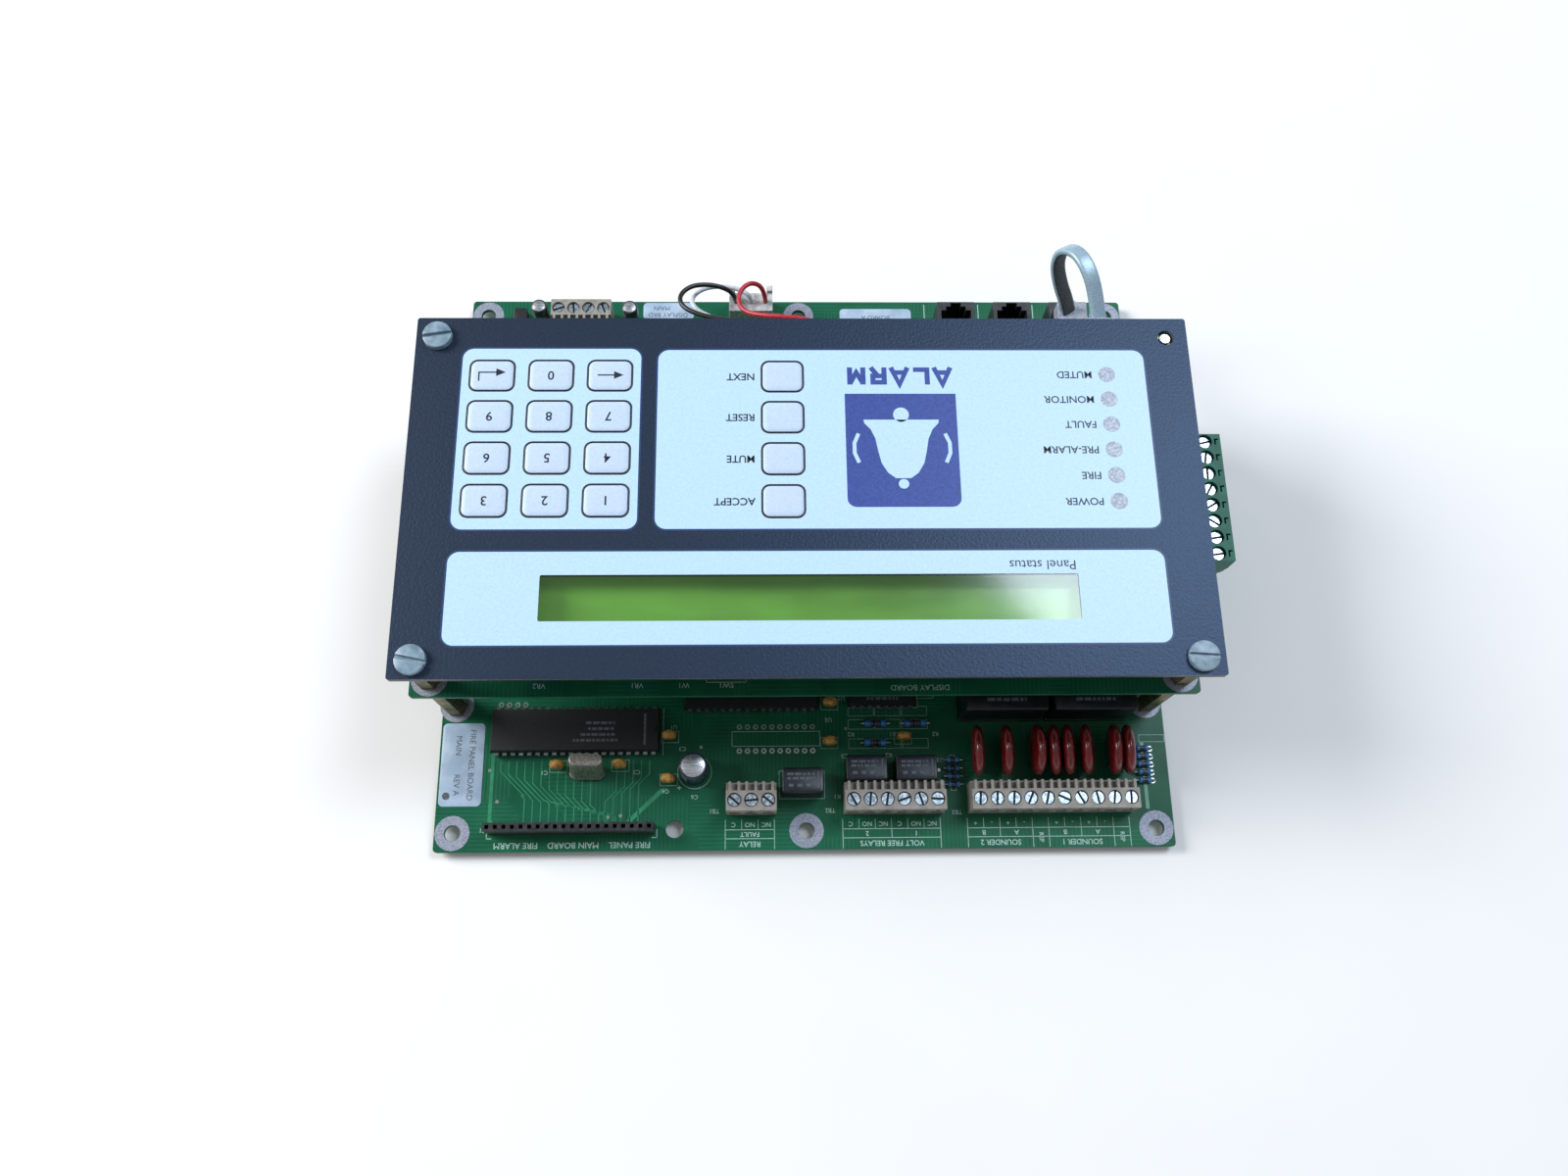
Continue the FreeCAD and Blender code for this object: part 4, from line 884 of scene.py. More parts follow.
FLAT_CABLE_LENGTH, BLACK_WIRE_LENGTH, WHITE_WIRE_LENGTH, RED_WIRE_LENGTH = 56.2, 82.1, 84.4, 68.2


def route_curve(name, route):
    """Smooth line with the route's points as its control points, in metres."""
    curve = bpy.data.curves.new(name, "CURVE")
    curve.dimensions = "3D"
    curve.resolution_u = 12
    spline = curve.splines.new("NURBS")
    spline.points.add(len(route) - 1)
    for point, spot in zip(spline.points, route):
        point.co = (*(c * MM for c in spot), 1)
    spline.order_u = 3
    spline.use_endpoint_u = True
    return curve


def wire(name, node, route, length, recipe, slot):
    """One round wire from its housing to the display board."""
    thickness = settings("alarm_cords").wire
    curve = route_curve(name, route)
    curve.bevel_depth = thickness / 2
    curve.bevel_resolution = 5
    curve.use_fill_caps = True
    curve.materials.append(finish(recipe))
    thing = settle(bpy.data.objects.new(name, curve), "stack", slot, (node,))
    [c * MM for c in route[0]]


INNER_SIDE = -1  # which flat side of the cable faces the inside of its loop


class ALARM_OT_cords(AlarmStep, bpy.types.Operator):
    """Flat cable and the black, white and red wires"""

    bl_idname = "alarm.cords"
    bl_label = "Cords"

    def execute(self, context):
        for tone, route, length, recipe in (
                ("black", BLACK_WIRE_ROUTE, BLACK_WIRE_LENGTH, black_pvc),
                ("white", WHITE_WIRE_ROUTE, WHITE_WIRE_LENGTH, white_pvc),
                ("red", RED_WIRE_ROUTE, RED_WIRE_LENGTH, red_pvc)):
            wire(f"{tone}_wire_cord", f"{tone}_wire", route, length, recipe, f"wire_{tone}")
        self.flat_cable(settings("alarm_cords"))
        return {"FINISHED"}

    def flat_cable(self, cords):
        """Sweep the flat section with its wide side across the loop."""
        line = [v.co / MM for v in mesh_of_curve(route_curve("line", FLAT_CABLE_ROUTE)).vertices]
        across = Vector((0.9, 0.44, 0.0))
        section = rounded(0, 0, cords.flat_width / MM, cords.flat_thick / MM,
                          cords.flat_thick / MM * 0.42, cords.flat_sides // 4 - 1)
        rings = []
        for i, spot in enumerate(line):
            along = (line[min(i + 1, len(line) - 1)] - line[max(i - 1, 0)]).normalized()
            wide = (across - along * across.dot(along)).normalized()
            thin = along.cross(wide)
            rings.append([spot + wide * x + thin * y for x, y in section])
        form = Form()
        form.loft(rings)
        # The inner flat side of the loop gets the painted shade, the second finish.
        for face_number in range((len(rings) - 1) * len(section)):
            if section[face_number % len(section)][1] * INNER_SIDE > 0.8:
                form.finishes[face_number] = 1
        thing = form.piece("flat_cable_cord", [cable_sheath, shaded_sheath],
                           slot="cable_sheath", replaces=("flat_cable",))
        [c * MM for c in FLAT_CABLE_ROUTE[0]]


# ---------------------------------------------------------------- front
PANELS = (
    # left, right, near and far edge of each pale panel
    (-101.0, -48.7, -11.4, 45.5),
    (-43.7, 100.3, -11.4, 45.1),
    (-101.0, 100.0, -45.2, -18.1),
)
KEY_NODES = [n for n in nodes if n.startswith("key_")]
FUNCTION_WORDS = {"key_accept": "ACCEPT", "key_mute": "MUTE", "key_reset": "RESET",
                  "key_next": "NEXT"}
LAMP_WORDS = ("POWER", "FIRE", "PRE-ALARM", "FAULT", "MONITOR", "MUTED")
KEY_LINE = 0.42  # width of the line round each key
LAMP_X, LAMP_Y, LAMP_PITCH, LAMP_RADIUS = 88.85, -3.2, 8.06, 2.5


def middle(node):
    low, high = span(node)
    return (low + high) / 2


def edge_of_hole(node, gap=0.25, corner=2.45):
    low, high = span(node)
    spot = middle(node)
    return rounded(spot.x, spot.y, high.x - low.x + 2 * gap, high.y - low.y + 2 * gap, corner)


class ALARM_OT_face_print(AlarmStep, bpy.types.Operator):
    """Printed layers of the front film: panels, outlines, legends and badge"""

    bl_idname = "alarm.face_print"
    bl_label = "Face print"

    def execute(self, context):
        looks = settings("alarm_face")
        low, high = face, face + looks.print_height / MM
        corner = looks.panel_corner / MM
        panels, borders = Form(), Form()
        window_low, window_high = span("display_window")
        for x0, x1, y0, y1 in PANELS:
            x, y, length, width = (x0 + x1) / 2, (y0 + y1) / 2, x1 - x0, y1 - y0
            holes = [edge_of_hole(n) for n in KEY_NODES
                     if x0 < middle(n).x < x1 and y0 < middle(n).y < y1]
            if y0 < window_low.y < y1:
                spot = middle("display_window")
                holes.append(rounded(spot.x, spot.y, window_high.x - window_low.x,
                                     window_high.y - window_low.y, 0.5))
            lay_flat(panels, [rounded(x, y, length, width, corner, 8)] + holes, low, high)
            lay_flat(borders, [rounded(x, y, length + 1.1, width + 1.1, corner + 0.55, 8),
                               rounded(x, y, length, width, corner, 8)], low, high - 0.005)
        panels.piece("pale_panels", [panel_film], slot="overlay_film")
        borders.piece("panel_borders", [outline_ink], slot="overlay_film")
        self.legends(high)
        self.badge(high)
        return {"FINISHED"}

    def legends(self, z):
        form = Form()
        for node, word in FUNCTION_WORDS.items():
            low, _ = span(node)
            letter(form, word, low.x - 1.9, middle(node).y, z, 2.2, align="LEFT", thick=0.02,
                   weight=0.05)
        for number, word in enumerate(LAMP_WORDS):
            letter(form, word, LAMP_X - LAMP_RADIUS - 1.8, LAMP_Y + LAMP_PITCH * number, z,
                   2.2, align="LEFT", thick=0.02, weight=0.04)
        window_low, window_high = span("display_window")
        letter(form, "Panel status", window_high.x - 0.3, window_high.y + 2.7, z, 2.75,
               align="LEFT", thick=0.02)
        form.piece("face_legends", [legend_ink], slot="overlay_film")
        lamps = Form()
        for number in range(len(LAMP_WORDS)):
            lamps.lathe([(LAMP_RADIUS, 0), (LAMP_RADIUS, 0.05), (LAMP_RADIUS * 0.9, 0.09),
                         (LAMP_RADIUS * 0.5, 0.12), (0.05, 0.13)],
                        (LAMP_X, LAMP_Y + LAMP_PITCH * number, face), steps=40)
        lamps.piece("lamp_windows", [lamp_film], slot="overlay_film")

    def badge(self, z):
        """Blue square with a plain bell, and a plain word over it."""
        form = Form()
        x0, x1, y0, y1 = 11.0, 43.6, -4.9, 30.8
        soft = 2.6
        square = [(x0, y1), (x0, y0 + soft)]
        square += [(x0 + soft - soft * math.cos(a), y0 + soft - soft * math.sin(a))
                   for a in (0.39, 0.79, 1.18)]
        square += [(x0 + soft, y0), (x1 - soft, y0)]
        square += [(x1 - soft + soft * math.sin(a), y0 + soft - soft * math.cos(a))
                   for a in (0.39, 0.79, 1.18)]
        square += [(x1, y0 + soft), (x1, y1)]
        lay_flat(form, [square], z, z + 0.02)
        self.word(form, (x0 + x1) / 2, 36.6, z)
        form.piece("face_badge", [badge_ink], slot="overlay_film")
        bell = Form()
        centre_x, base_y, tall, wide = (x0 + x1) / 2, 22.4, 19.0, 11.0
        profile = [(1.0, 0.0), (0.98, 0.06), (0.82, 0.16), (0.7, 0.32), (0.64, 0.52),
                   (0.56, 0.72), (0.4, 0.88), (0.2, 0.97)]
        side = [(centre_x + wide * w, base_y - tall * t) for w, t in profile]
        lay_flat(bell, [side + [(2 * centre_x - px, py) for px, py in reversed(side)]],
                 z + 0.02, z + 0.04)
        lay_flat(bell, [circle(centre_x, base_y + 1.6, 2.3, 28)], z + 0.02, z + 0.04)
        lay_flat(bell, [circle(centre_x, base_y - tall - 1.2, 1.5, 24)], z + 0.02, z + 0.04)
        reach = 14.0  # of the two curved strokes beside the bell
        for way in (-1, 1):
            arc = [(centre_x + way * reach * math.cos(a), base_y - 9 - reach * 0.75 * math.sin(a))
                   for a in (-0.45, -0.15, 0.15, 0.45)]
            ribbon(bell, arc, 1.1, z + 0.02, z + 0.04)
        bell.piece("badge_bell", [panel_film], slot="overlay_film")

    def word(self, form, x, y, z):
        """The word ALARM in heavy strokes that read from the far side."""
        tall, wide, line = 5.6, 4.9, 1.5
        strokes = {
            "A": (((0, 0), (0.5, 1), (1, 0)), ((0.24, 0.3), (0.76, 0.3))),
            "L": (((0.12, 1), (0.12, 0.13), (0.95, 0.13)),),
            "R": (((0.12, 0), (0.12, 1)), ((0.12, 0.87), (0.8, 0.87), (0.8, 0.5), (0.12, 0.5)),
                  ((0.5, 0.5), (0.92, 0))),
            "M": (((0.1, 0), (0.1, 1)), ((0.1, 0.95), (0.5, 0.3), (0.9, 0.95)),
                  ((0.9, 0), (0.9, 1))),
        }
        pitch = 6.35
        for number, mark in enumerate("ALARM"):
            for layer, stroke in enumerate(strokes[mark]):
                route = [(x - pitch * (number - 2) + wide * (0.5 - u),
                          y + tall * (0.5 - v)) for u, v in stroke]
                ribbon(form, route, line, z, z + 0.02 + 0.008 * layer)


class ALARM_OT_keys(AlarmStep, bpy.types.Operator):
    """Embossed keys, each with its outline and legend"""

    bl_idname = "alarm.keys"
    bl_label = "Keys"

    def execute(self, context):
        for node in KEY_NODES:
            self.key(node)
        return {"FINISHED"}

    def key(self, node):
        low, high = span(node)
        spot, length, width = middle(node), high.x - low.x, high.y - low.y
        corner = 2.2
        form = Form()
        collar = [(0.0, low.z), (0.0, face + 0.05), (0.05, face + 0.08), (KEY_LINE, face + 0.08)]
        pad = [(0.4, low.z + 0.05), (0.4, face + 0.1), (0.58, face + 0.19),
               (0.9, face + 0.28), (1.25, high.z - 0.05), (1.7, high.z)]
        for number, profile in enumerate((collar, pad)):
            form.loft([[(x, y, z) for x, y in rounded(spot.x, spot.y, length - 2 * inset,
                                                      width - 2 * inset, corner - inset * 0.8)]
                       for inset, z in profile], number)
        word = node.split("_")[1]
        if word.isdigit():
            letter(form, word, spot.x, spot.y, high.z, 2.75, 0, thick=0.02, weight=0.05)
        elif word in ("enter", "back"):
            self.arrow(form, spot.x, spot.y, high.z, word == "enter")
        form.piece(f"{node}_pad", [legend_ink, key_film], node, "key_film", (node,))

    def arrow(self, form, x, y, z, bent):
        """Arrow to the right as seen from the terminals; a bent one has a tail."""
        line = KEY_LINE
        start = x - 4.0 if bent else x - 3.6
        lift = 0.9 if bent else 0.0
        ribbon(form, [(start, y + lift), (x + 1.6, y + lift)], line, z, z + 0.02)
        if bent:
            ribbon(form, [(start + line / 2, y + lift), (start + line / 2, y - 1.9)], line,
                   z, z + 0.02)
        head = [(x + 1.2, y + lift + 1.25), (x + 1.2, y + lift - 1.25), (x + 4.0, y + lift)]
        lay_flat(form, [head], z, z + 0.02)


def slotted_head(form, x, y, low, high, radius, slot, depth, turn):
    """Turned head with a rounded rim and a straight slot across it."""
    floor = high - depth
    rim = 0.22 * (high - low)
    spin = Matrix.Translation((x, y, 0)) @ Matrix.Rotation(math.radians(turn), 4, "Z")
    form.loft([[(px, py, z) for px, py in circle(0, 0, radius - inset, 36)]
               for z, inset in ((low, 0.12), (low + 0.12, 0.0), (floor, 0.0))],
              turn=spin)
    for way in (1, -1):
        rings = []
        for z, inset in ((floor, 0.0), (high - rim, 0.0), (high - 0.3 * rim, 0.3 * rim),
                         (high, rim)):
            reach = radius - inset
            start = math.asin(min(0.9, (slot / 2 + inset * 0.3) / reach))
            rings.append([(reach * math.cos(a), way * reach * math.sin(a), z)
                          for a in [start + (math.pi - 2 * start) * i / 18
                                    for i in range(19)]])
        form.loft(rings, turn=spin)


class ALARM_OT_plate_screws(AlarmStep, bpy.types.Operator):
    """Nylon screws that hold the front plate"""

    bl_idname = "alarm.plate_screws"
    bl_label = "Plate screws"

    def execute(self, context):
        low, high = span("plate_screws")
        radius, slot, depth = 4.3, 1.05, 1.0
        form = Form()
        corners = ((low.x + radius, low.y + radius, -12), (low.x + radius, high.y - radius, 9),
                   (high.x - radius, low.y + radius, -4))
        for x, y, turn in corners:
            slotted_head(form, x, y, face, high.z, radius, slot, depth, turn)
            form.lathe([(1.5, 0), (1.5, face - low.z + 0.2)], (x, y, low.z), steps=20)
        form.piece("nylon_plate_screws", [nylon], slot="screw_nylon",
                   replaces=("plate_screws",))
        return {"FINISHED"}


# ---------------------------------------------------------------- printing on the boards
PIN_PITCH, POLE_PITCH = 2.54, 5.08
INK, TRACK = 0.02, 0.015  # how far print and tracks stand up
FAR_BLOCK_X, FAR_BLOCK_Y = left + 31.2, far - 8.2  # first pole of the far block


def bar(form, x, y, length, width, low, high, finish_number=0):
    """Plain rectangular bar centred on x and y."""
    form.loft([[(x + sx * length / 2, y + sy * width / 2, z)
                for sx, sy in ((1, 1), (-1, 1), (-1, -1), (1, -1))] for z in (low, high)],
              finish_number)


def blank_print(form, x, y, z, length, height, finish_number=0):
    """A line of printing that says nothing: short bars in place of words."""
    draw = random.Random(round(10 * x) * 31 + round(10 * y))
    start = -length / 2
    while start < length / 2 - 0.4 * height:
        reach = min(draw.uniform(0.7, 2.6) * height, length / 2 - start)
        bar(form, x + start + reach / 2, y, reach, height, z, z + INK, finish_number)
        start += reach + 0.5 * height


def silk_box(form, x0, x1, y0, y1, z, line=0.16):
    """Printed rectangle."""
    for y in (y0, y1):
        bar(form, (x0 + x1) / 2, y, x1 - x0 + line, line, z, z + INK)
    for x in (x0, x1):
        bar(form, x, (y0 + y1) / 2, line, y1 - y0, z, z + INK)


TERMINAL_TABLES = (
    # first pole, marks of the poles, then names and titles with the poles each one spans
    (left + 91.2, ("C", "NO", "NC"), ((3, "FAULT"),), ((3, "RELAY"),)),
    (right - 99.1, ("C", "NO", "NC", "C", "NO", "NC"), ((3, "2"), (3, "1")),
     ((6, "VOLT FREE RELAYS"),)),
    (right - 60.8, ("+", "-", "+", "-", "", "+", "-", "+", "-", ""),
     ((2, "B"), (2, "A"), (1, ""), (2, "B"), (2, "A"), (1, "")),
     ((4, "SOUNDER 2"), (1, "REP"), (4, "SOUNDER 1"), (1, "REP"))),
)
TABLE_ROWS = (near + 9.2, near + 6.1, near + 3.4, near + 0.2)
TABLE_PITCH = 5.0
STANDOFFS = [(x, y) for x in (-108.75, 107.75) for y in (-49.35, 49.35)]
MOUNTING_HOLES = [(x, y) for x in (-107.6, 0.0, 107.6) for y in (-88.9, 88.9)]
EMPTY_CHIP = [(-20.5 + PIN_PITCH * n, y) for n in range(10) for y in (-64.3, -56.7)]


class ALARM_OT_board_print(AlarmStep, bpy.types.Operator):
    """Silk screen, tracks and paper labels of the main board"""

    bl_idname = "alarm.board_print"
    bl_label = "Board print"

    def execute(self, context):
        ink = Form()
        self.tables(ink)
        self.outlines(ink)
        self.marks(ink)
        ink.piece("main_board_silk", [silk_ink], slot="board_laminate")
        self.tracks()
        self.labels()
        return {"FINISHED"}

    def tables(self, ink):
        """Ruled tables of the contacts, between each terminal block and the edge."""
        z, (top, upper, lower, edge) = board_top, TABLE_ROWS
        for first, marks, names, titles in TERMINAL_TABLES:
            x0 = first - 2.9
            x1 = x0 + TABLE_PITCH * len(marks)
            for y in (upper, lower):
                bar(ink, (x0 + x1) / 2, y, x1 - x0, 0.2, z, z + INK)
            for x in (x0, x1):
                bar(ink, x, (top + edge) / 2, 0.2, top - edge, z, z + INK)
            for number, mark in enumerate(marks):
                x = x0 + TABLE_PITCH * (number + 0.5)
                if mark:
                    letter(ink, mark, x, (top + upper) / 2, z, 1.35, thick=INK, weight=0.02)
                if number:
                    bar(ink, x - TABLE_PITCH / 2, (top + upper) / 2, 0.16,
                        top - upper, z, z + INK)
            for row, (high, low), size in ((names, (upper, lower), 1.4),
                                           (titles, (lower, edge), 1.6)):
                start = x0
                for count, title in row:
                    centre = start + TABLE_PITCH * count / 2
                    if title == "REP":
                        letter(ink, title, centre, (upper + edge) / 2, z, 1.3, thick=INK,
                               weight=0.02, turn=Matrix.Rotation(-math.pi / 2, 4, "Z"))
                    elif title:
                        letter(ink, title, centre, (high + low) / 2, z, size, thick=INK,
                               weight=0.03)
                    start += TABLE_PITCH * count
                    if start < x1 - 1:
                        bar(ink, start, (high + low) / 2, 0.2, high - low, z, z + INK)

    def outlines(self, ink):
        """Printed outlines of the parts."""
        z = board_top
        for x0, x1, y0, y1 in (
                (-22.8, 4.6, -62.8, -58.2), (13.6, 35.6, -50.9, -45.0),
                (104.9, 112.8, -62.2, -60.0), (-8.2, 5.8, -79.2, -70.6),
                (44.9, 46.6, -77.0, -66.0)):
            silk_box(ink, x0, x1, y0, y1, z)
        for x in (17.6, 26.0, 34.5):
            for y in (-62.2, -56.1, -51.9):
                silk_box(ink, x - 4.0, x + 4.0, y - 1.5, y + 1.5, z, 0.12)
        for x, y in SMALL_DROPS:
            silk_box(ink, x - 2.7, x + 2.7, y - 1.8, y + 1.8, z, 0.12)
        ring = [(x, y) for x, y in circle(left + 78.8, near + 23.9, 5.3, 40)]
        lay_flat(ink, [ring, circle(left + 78.8, near + 23.9, 5.12, 40)], z, z + INK)
        bar(ink, -44.2, -58.0, 0.16, 15.0, z, z + INK)
        for x in (44.2, 63.2, 82.4):
            bar(ink, x, far - 6.0, 0.3, 10.0, z, z + INK)
        for x, way in ((-97.2, 1), (-45.6, -1)):
            bar(ink, x, near + 5.2, 0.25, 2.6, z, z + INK)
            bar(ink, x + way * 0.8, near + 4.0, 1.6, 0.3, z, z + INK)

    def marks(self, ink):
        """Place names beside the parts."""
        z = board_top
        names = (("R1", 27.4, -59.2), ("R2", 14.4, -59.2), ("R3", 40.9, -59.2),
                 ("C1", -80.6, -70.6), ("C2", -52.2, -70.6), ("C3", -38.2, -63.4),
                 ("C4", -43.2, -76.6), ("U1", -41.0, -56.6),
                 ("U2", 7.4, -54.6), ("U3", 11.6, -47.6), ("K1", 9.6, -78.6),
                 ("K2", 26.0, -65.8), ("K3", 41.9, -67.4), ("P1", -98.6, near + 6.5),
                 ("TB1", -28.2, near + 11.8), ("TB2", 7.4, near + 11.8),
                 ("TB3", 46.4, near + 11.0), ("C5", 12.2, -66.0), ("C6", -34.3, -78.4))
        for word, x, y in names:
            letter(ink, word, x, y, z, 1.3, thick=INK, weight=0.01)
        letter(ink, "FIRE PANEL    MAIN BOARD    FIRE ALARM", -71.2, near + 1.9, z, 1.75,
               thick=INK, weight=0.03)
        letter(ink, "+", -39.0, -75.4, z, 1.8, thick=INK, weight=0.03)

    def tracks(self):
        """Tracks that show on their own: the fan to the socket strip and the wide rails."""
        copper = Form()
        z = board_top
        for n in range(12):
            start, end = -94.2 + PIN_PITCH * n, -92.4 + PIN_PITCH * (n + 2.4)
            bend = -70.0 - 0.95 * n
            reach = 3.0 + 0.42 * (11 - n)
            ribbon(copper, [(start, -67.0), (start, bend), (start + reach, bend - reach),
                            (end - 1.0, bend - reach), (end, bend - reach - 1.0),
                            (end, near + 8.4)], 0.26, z, z + TRACK)
        for n in range(5):
            x = -58.4 + PIN_PITCH * n
            ribbon(copper, [(x, -67.0), (x, -76.4 + 1.3 * n), (x - 3.2, -79.6 + 1.3 * n),
                            (x - 3.2, near + 8.4)], 0.26, z, z + TRACK)
        ribbon(copper, [(-96.6, -60.0), (-96.6, near + 9.4), (-95.2, near + 7.6)], 1.1, z,
               z + TRACK)
        ribbon(copper, [(-54.6, near + 8.6), (-44.4, -76.4), (-42.8, -76.4)], 1.3, z,
               z + TRACK)
        for x0, y0, y1, width in ((105.6, -62.4, near + 11.5, 1.1),
                                  (-111.0, 60.0, 84.0, 2.0), (111.2, 58.0, 92.0, 1.6)):
            ribbon(copper, [(x0, y0), (x0, y1)], width, z, z + TRACK)
        copper.piece("main_board_tracks", [masked_copper], slot="board_laminate")

    def labels(self):
        """Paper labels; their printing is left blank."""
        paper, z = Form(), board_top
        for x, y, length, width in ((-106.0, -67.9, 13.0, 25.8), (-45.2, 90.9, 17.6, 6.4),
                                    (27.0, 89.0, 25.0, 5.6)):
            paper.block(x, y, length, width, z + 0.005, z + 0.12, 1.4, 0.04)
        top = z + 0.12
        downwards = Matrix.Rotation(-math.pi / 2, 4, "Z")
        for word, x, y in (("FIRE PANEL BOARD", -103.2, -68.0), ("MAIN", -107.4, -62.0),
                           ("REV A", -107.4, -74.2)):
            letter(paper, word, x, y, top, 1.75, 1, thick=INK, turn=downwards)
        paper.lathe([(1.15, 0), (1.15, INK)], (-110.3, -77.6, top), 1, 20)
        for word, x, y in (("MAIN", -47.6, 92.0), ("DISPLAY BRD", -45.4, 89.4),
                           ("BOARD A", 27.0, 88.4)):
            letter(paper, word, x, y, top, 1.6, 1, thick=INK)
        paper.piece("board_labels", [label_paper, label_print], slot="board_laminate")


class ALARM_OT_pads(AlarmStep, bpy.types.Operator):
    """Tinned rings, vias and solder joints, copied by node trees"""

    bl_idname = "alarm.pads"
    bl_label = "Pads and solder"

    def execute(self, context):
        height = 0.05
        for name, spots, levels in (("mounting_pads", MOUNTING_HOLES, (board_top,)),
                                    ("standoff_pads", STANDOFFS, (board_top, deck_top))):
            repeat_over(name, [(x, y, z + height / 2) for x, y in spots for z in levels],
                        ring_shape, {"Middle radius": 3.9, "Width": 2.8, "Height": height},
                        dull_ring, slot="board_laminate")
        at = [(x, y, board_top + 0.02) for x, y in EMPTY_CHIP]
        at += [(107.9, -74.4 + 2.5 * n, board_top + 0.02) for n in range(5)]
        at += [(-95.0 + PIN_PITCH * n, -49.2, board_top + 0.02) for n in range(4)]
        repeat_over("empty_pads", at, ring_shape,
                    {"Middle radius": 0.62, "Width": 0.5, "Height": 0.04}, solder,
                    slot="board_laminate")
        draw = random.Random(7)
        at = [(x, y, board_top + 0.015) for x, y in
              ((-97.4, -69.8), (-94.6, -79.4), (-60.6, -84.4), (-56.8, -84.0),
               (-32.4, -63.0), (-26.0, -48.2), (12.8, -57.4), (41.4, -70.6))]
        at += [(draw.uniform(-100, 100), draw.uniform(50, 82), board_top + 0.015)
               for _ in range(40)]
        repeat_over("vias", at, ring_shape,
                    {"Middle radius": 0.34, "Width": 0.3, "Height": 0.03}, solder,
                    slot="board_laminate")
        joint = settings("alarm_board").joint_radius / MM
        for name, pins, z in (("main_board_solder", main_pins(), board_low.z),
                              ("display_board_solder", deck_pins(), deck_low.z)):
            repeat_over(name, [(x, y, z) for x, y in pins], cone_shape,
                        {"Base radius": joint, "Tip radius": 0.3, "Height": 1.1}, solder,
                        slot="screw_steel", upside_down=True)
        return {"FINISHED"}


def main_pins():
    """Every soldered pin of the main board."""
    pins = []
    for _, x, y, half, rows in CHIPS:
        pins += [(x + PIN_PITCH * (n - (half - 1) / 2), y + side * rows / 2)
                 for n in range(half) for side in (-1, 1)]
    for first, marks, *_ in TERMINAL_TABLES:
        pins += [(first + POLE_PITCH * n, near + 13.7) for n in range(len(marks))]
    pins += [(FAR_BLOCK_X + POLE_PITCH * n, FAR_BLOCK_Y) for n in range(4)]
    pins += [(x + side * 1.27, y) for x, y in SMALL_DROPS for side in (-1, 1)]
    pins += [(right - inset, near + 28.2 + side * 3.75) for inset, _ in VARISTORS
             for side in (-1, 1)]
    pins += [(x + side * (length / 2 + 1.2), y) for length, _, x, y in RESISTORS
             for side in (-1, 1)]
    pins += [(x + dx, y + dy) for x, y in SMALL_RELAYS for dx in (-4.4, -1.3, 4.4)
             for dy in (-2.6, 2.6)]
    pins += [(x + dx, near + 45.5 + dy) for x in LARGE_RELAYS for dx in (-10.4, 3.6, 10.4)
             for dy in (-3.8, 3.8)]
    pins += [(-94.3 + PIN_PITCH * n, near + 6.5) for n in range(19)]
    pins += [(x + 1.27 * (n - 2.5), 72.6 + 2.54 * (n % 2)) for x in JACKS for n in range(6)]
    pins += [(-16.5 + 5.0 * n, far - 6.2) for n in (-1, 0, 1)]
    return pins


def deck_pins():
    """Every soldered pin of the display board."""
    pins = [(LAMP_X + side * 1.27, LAMP_Y + LAMP_PITCH * n) for n in range(6)
            for side in (-1, 1)]
    pins += [(right - 9.3, 2.2 + POLE_PITCH * (n - 3.5)) for n in range(8)]
    pins += [(left + 89.3 + PIN_PITCH * (n - 1.5), deck_low.y + 8.7 + side * 3.81)
             for n in range(4) for side in (-1, 1)]
    pins += [(x + dx, deck_low.y + 8.7 + dy) for x in (left + 35.7, left + 63.7)
             for dx, dy in ((-2.5, -2.5), (0, 2.5), (2.5, -2.5))]
    pins += [(92.5 + 1.27 * (n - 2.5), 45.4 + 2.54 * (n % 2)) for n in range(6)]
    return pins


# ---------------------------------------------------------------- parts on the main board
CHIPS = (
    # node, place, legs on a side, distance between the rows
    ("processor_chip", left + 42.0, near + 36.6, 20, 15.24),
    ("logic_chips", left + 96.3, near + 49.8, 16, 15.24),
    ("logic_chips", left + 137.3, near + 46.7, 8, 7.62),
)
SMALL_RELAYS = ((left + 111.9, near + 19.6), (right - 94.9, near + 23.3),
                (right - 79.7, near + 23.2))
LARGE_RELAYS = (right - 52.1, right - 24.9)
VARISTORS = (
    # place from the board's right edge, lean to the left in degrees
    (61.0, 6), (52.1, 6), (42.7, 0), (37.4, 13), (33.2, 12), (27.6, 12), (19.1, 6), (14.8, 11),
)
SMALL_DROPS = ((left + 36.8, near + 25.9), (left + 55.8, near + 26.0),
               (left + 71.0, near + 34.9), (left + 70.8, near + 21.5),
               (left + 120.9, near + 45.0), (left + 120.6, near + 32.7),
               (right - 82.5, near + 34.0), (right - 75.1, near + 48.6))
RESISTORS = [(7.0, 1.25, left + 135.1, near + 38.5), (7.0, 1.25, left + 134.9, near + 32.4),
             (7.0, 1.25, left + 147.6, near + 38.5)]
RESISTORS += [(4.0, 0.95, right - 67.4, near + 19.4 + 2.5 * n) for n in range(4)]
RESISTORS += [(4.0, 0.95, right - 7.9, near + 20.2 + 2.5 * n) for n in range(5)]
JACKS = (right - 60.5, right - 41.6, right - 22.7)


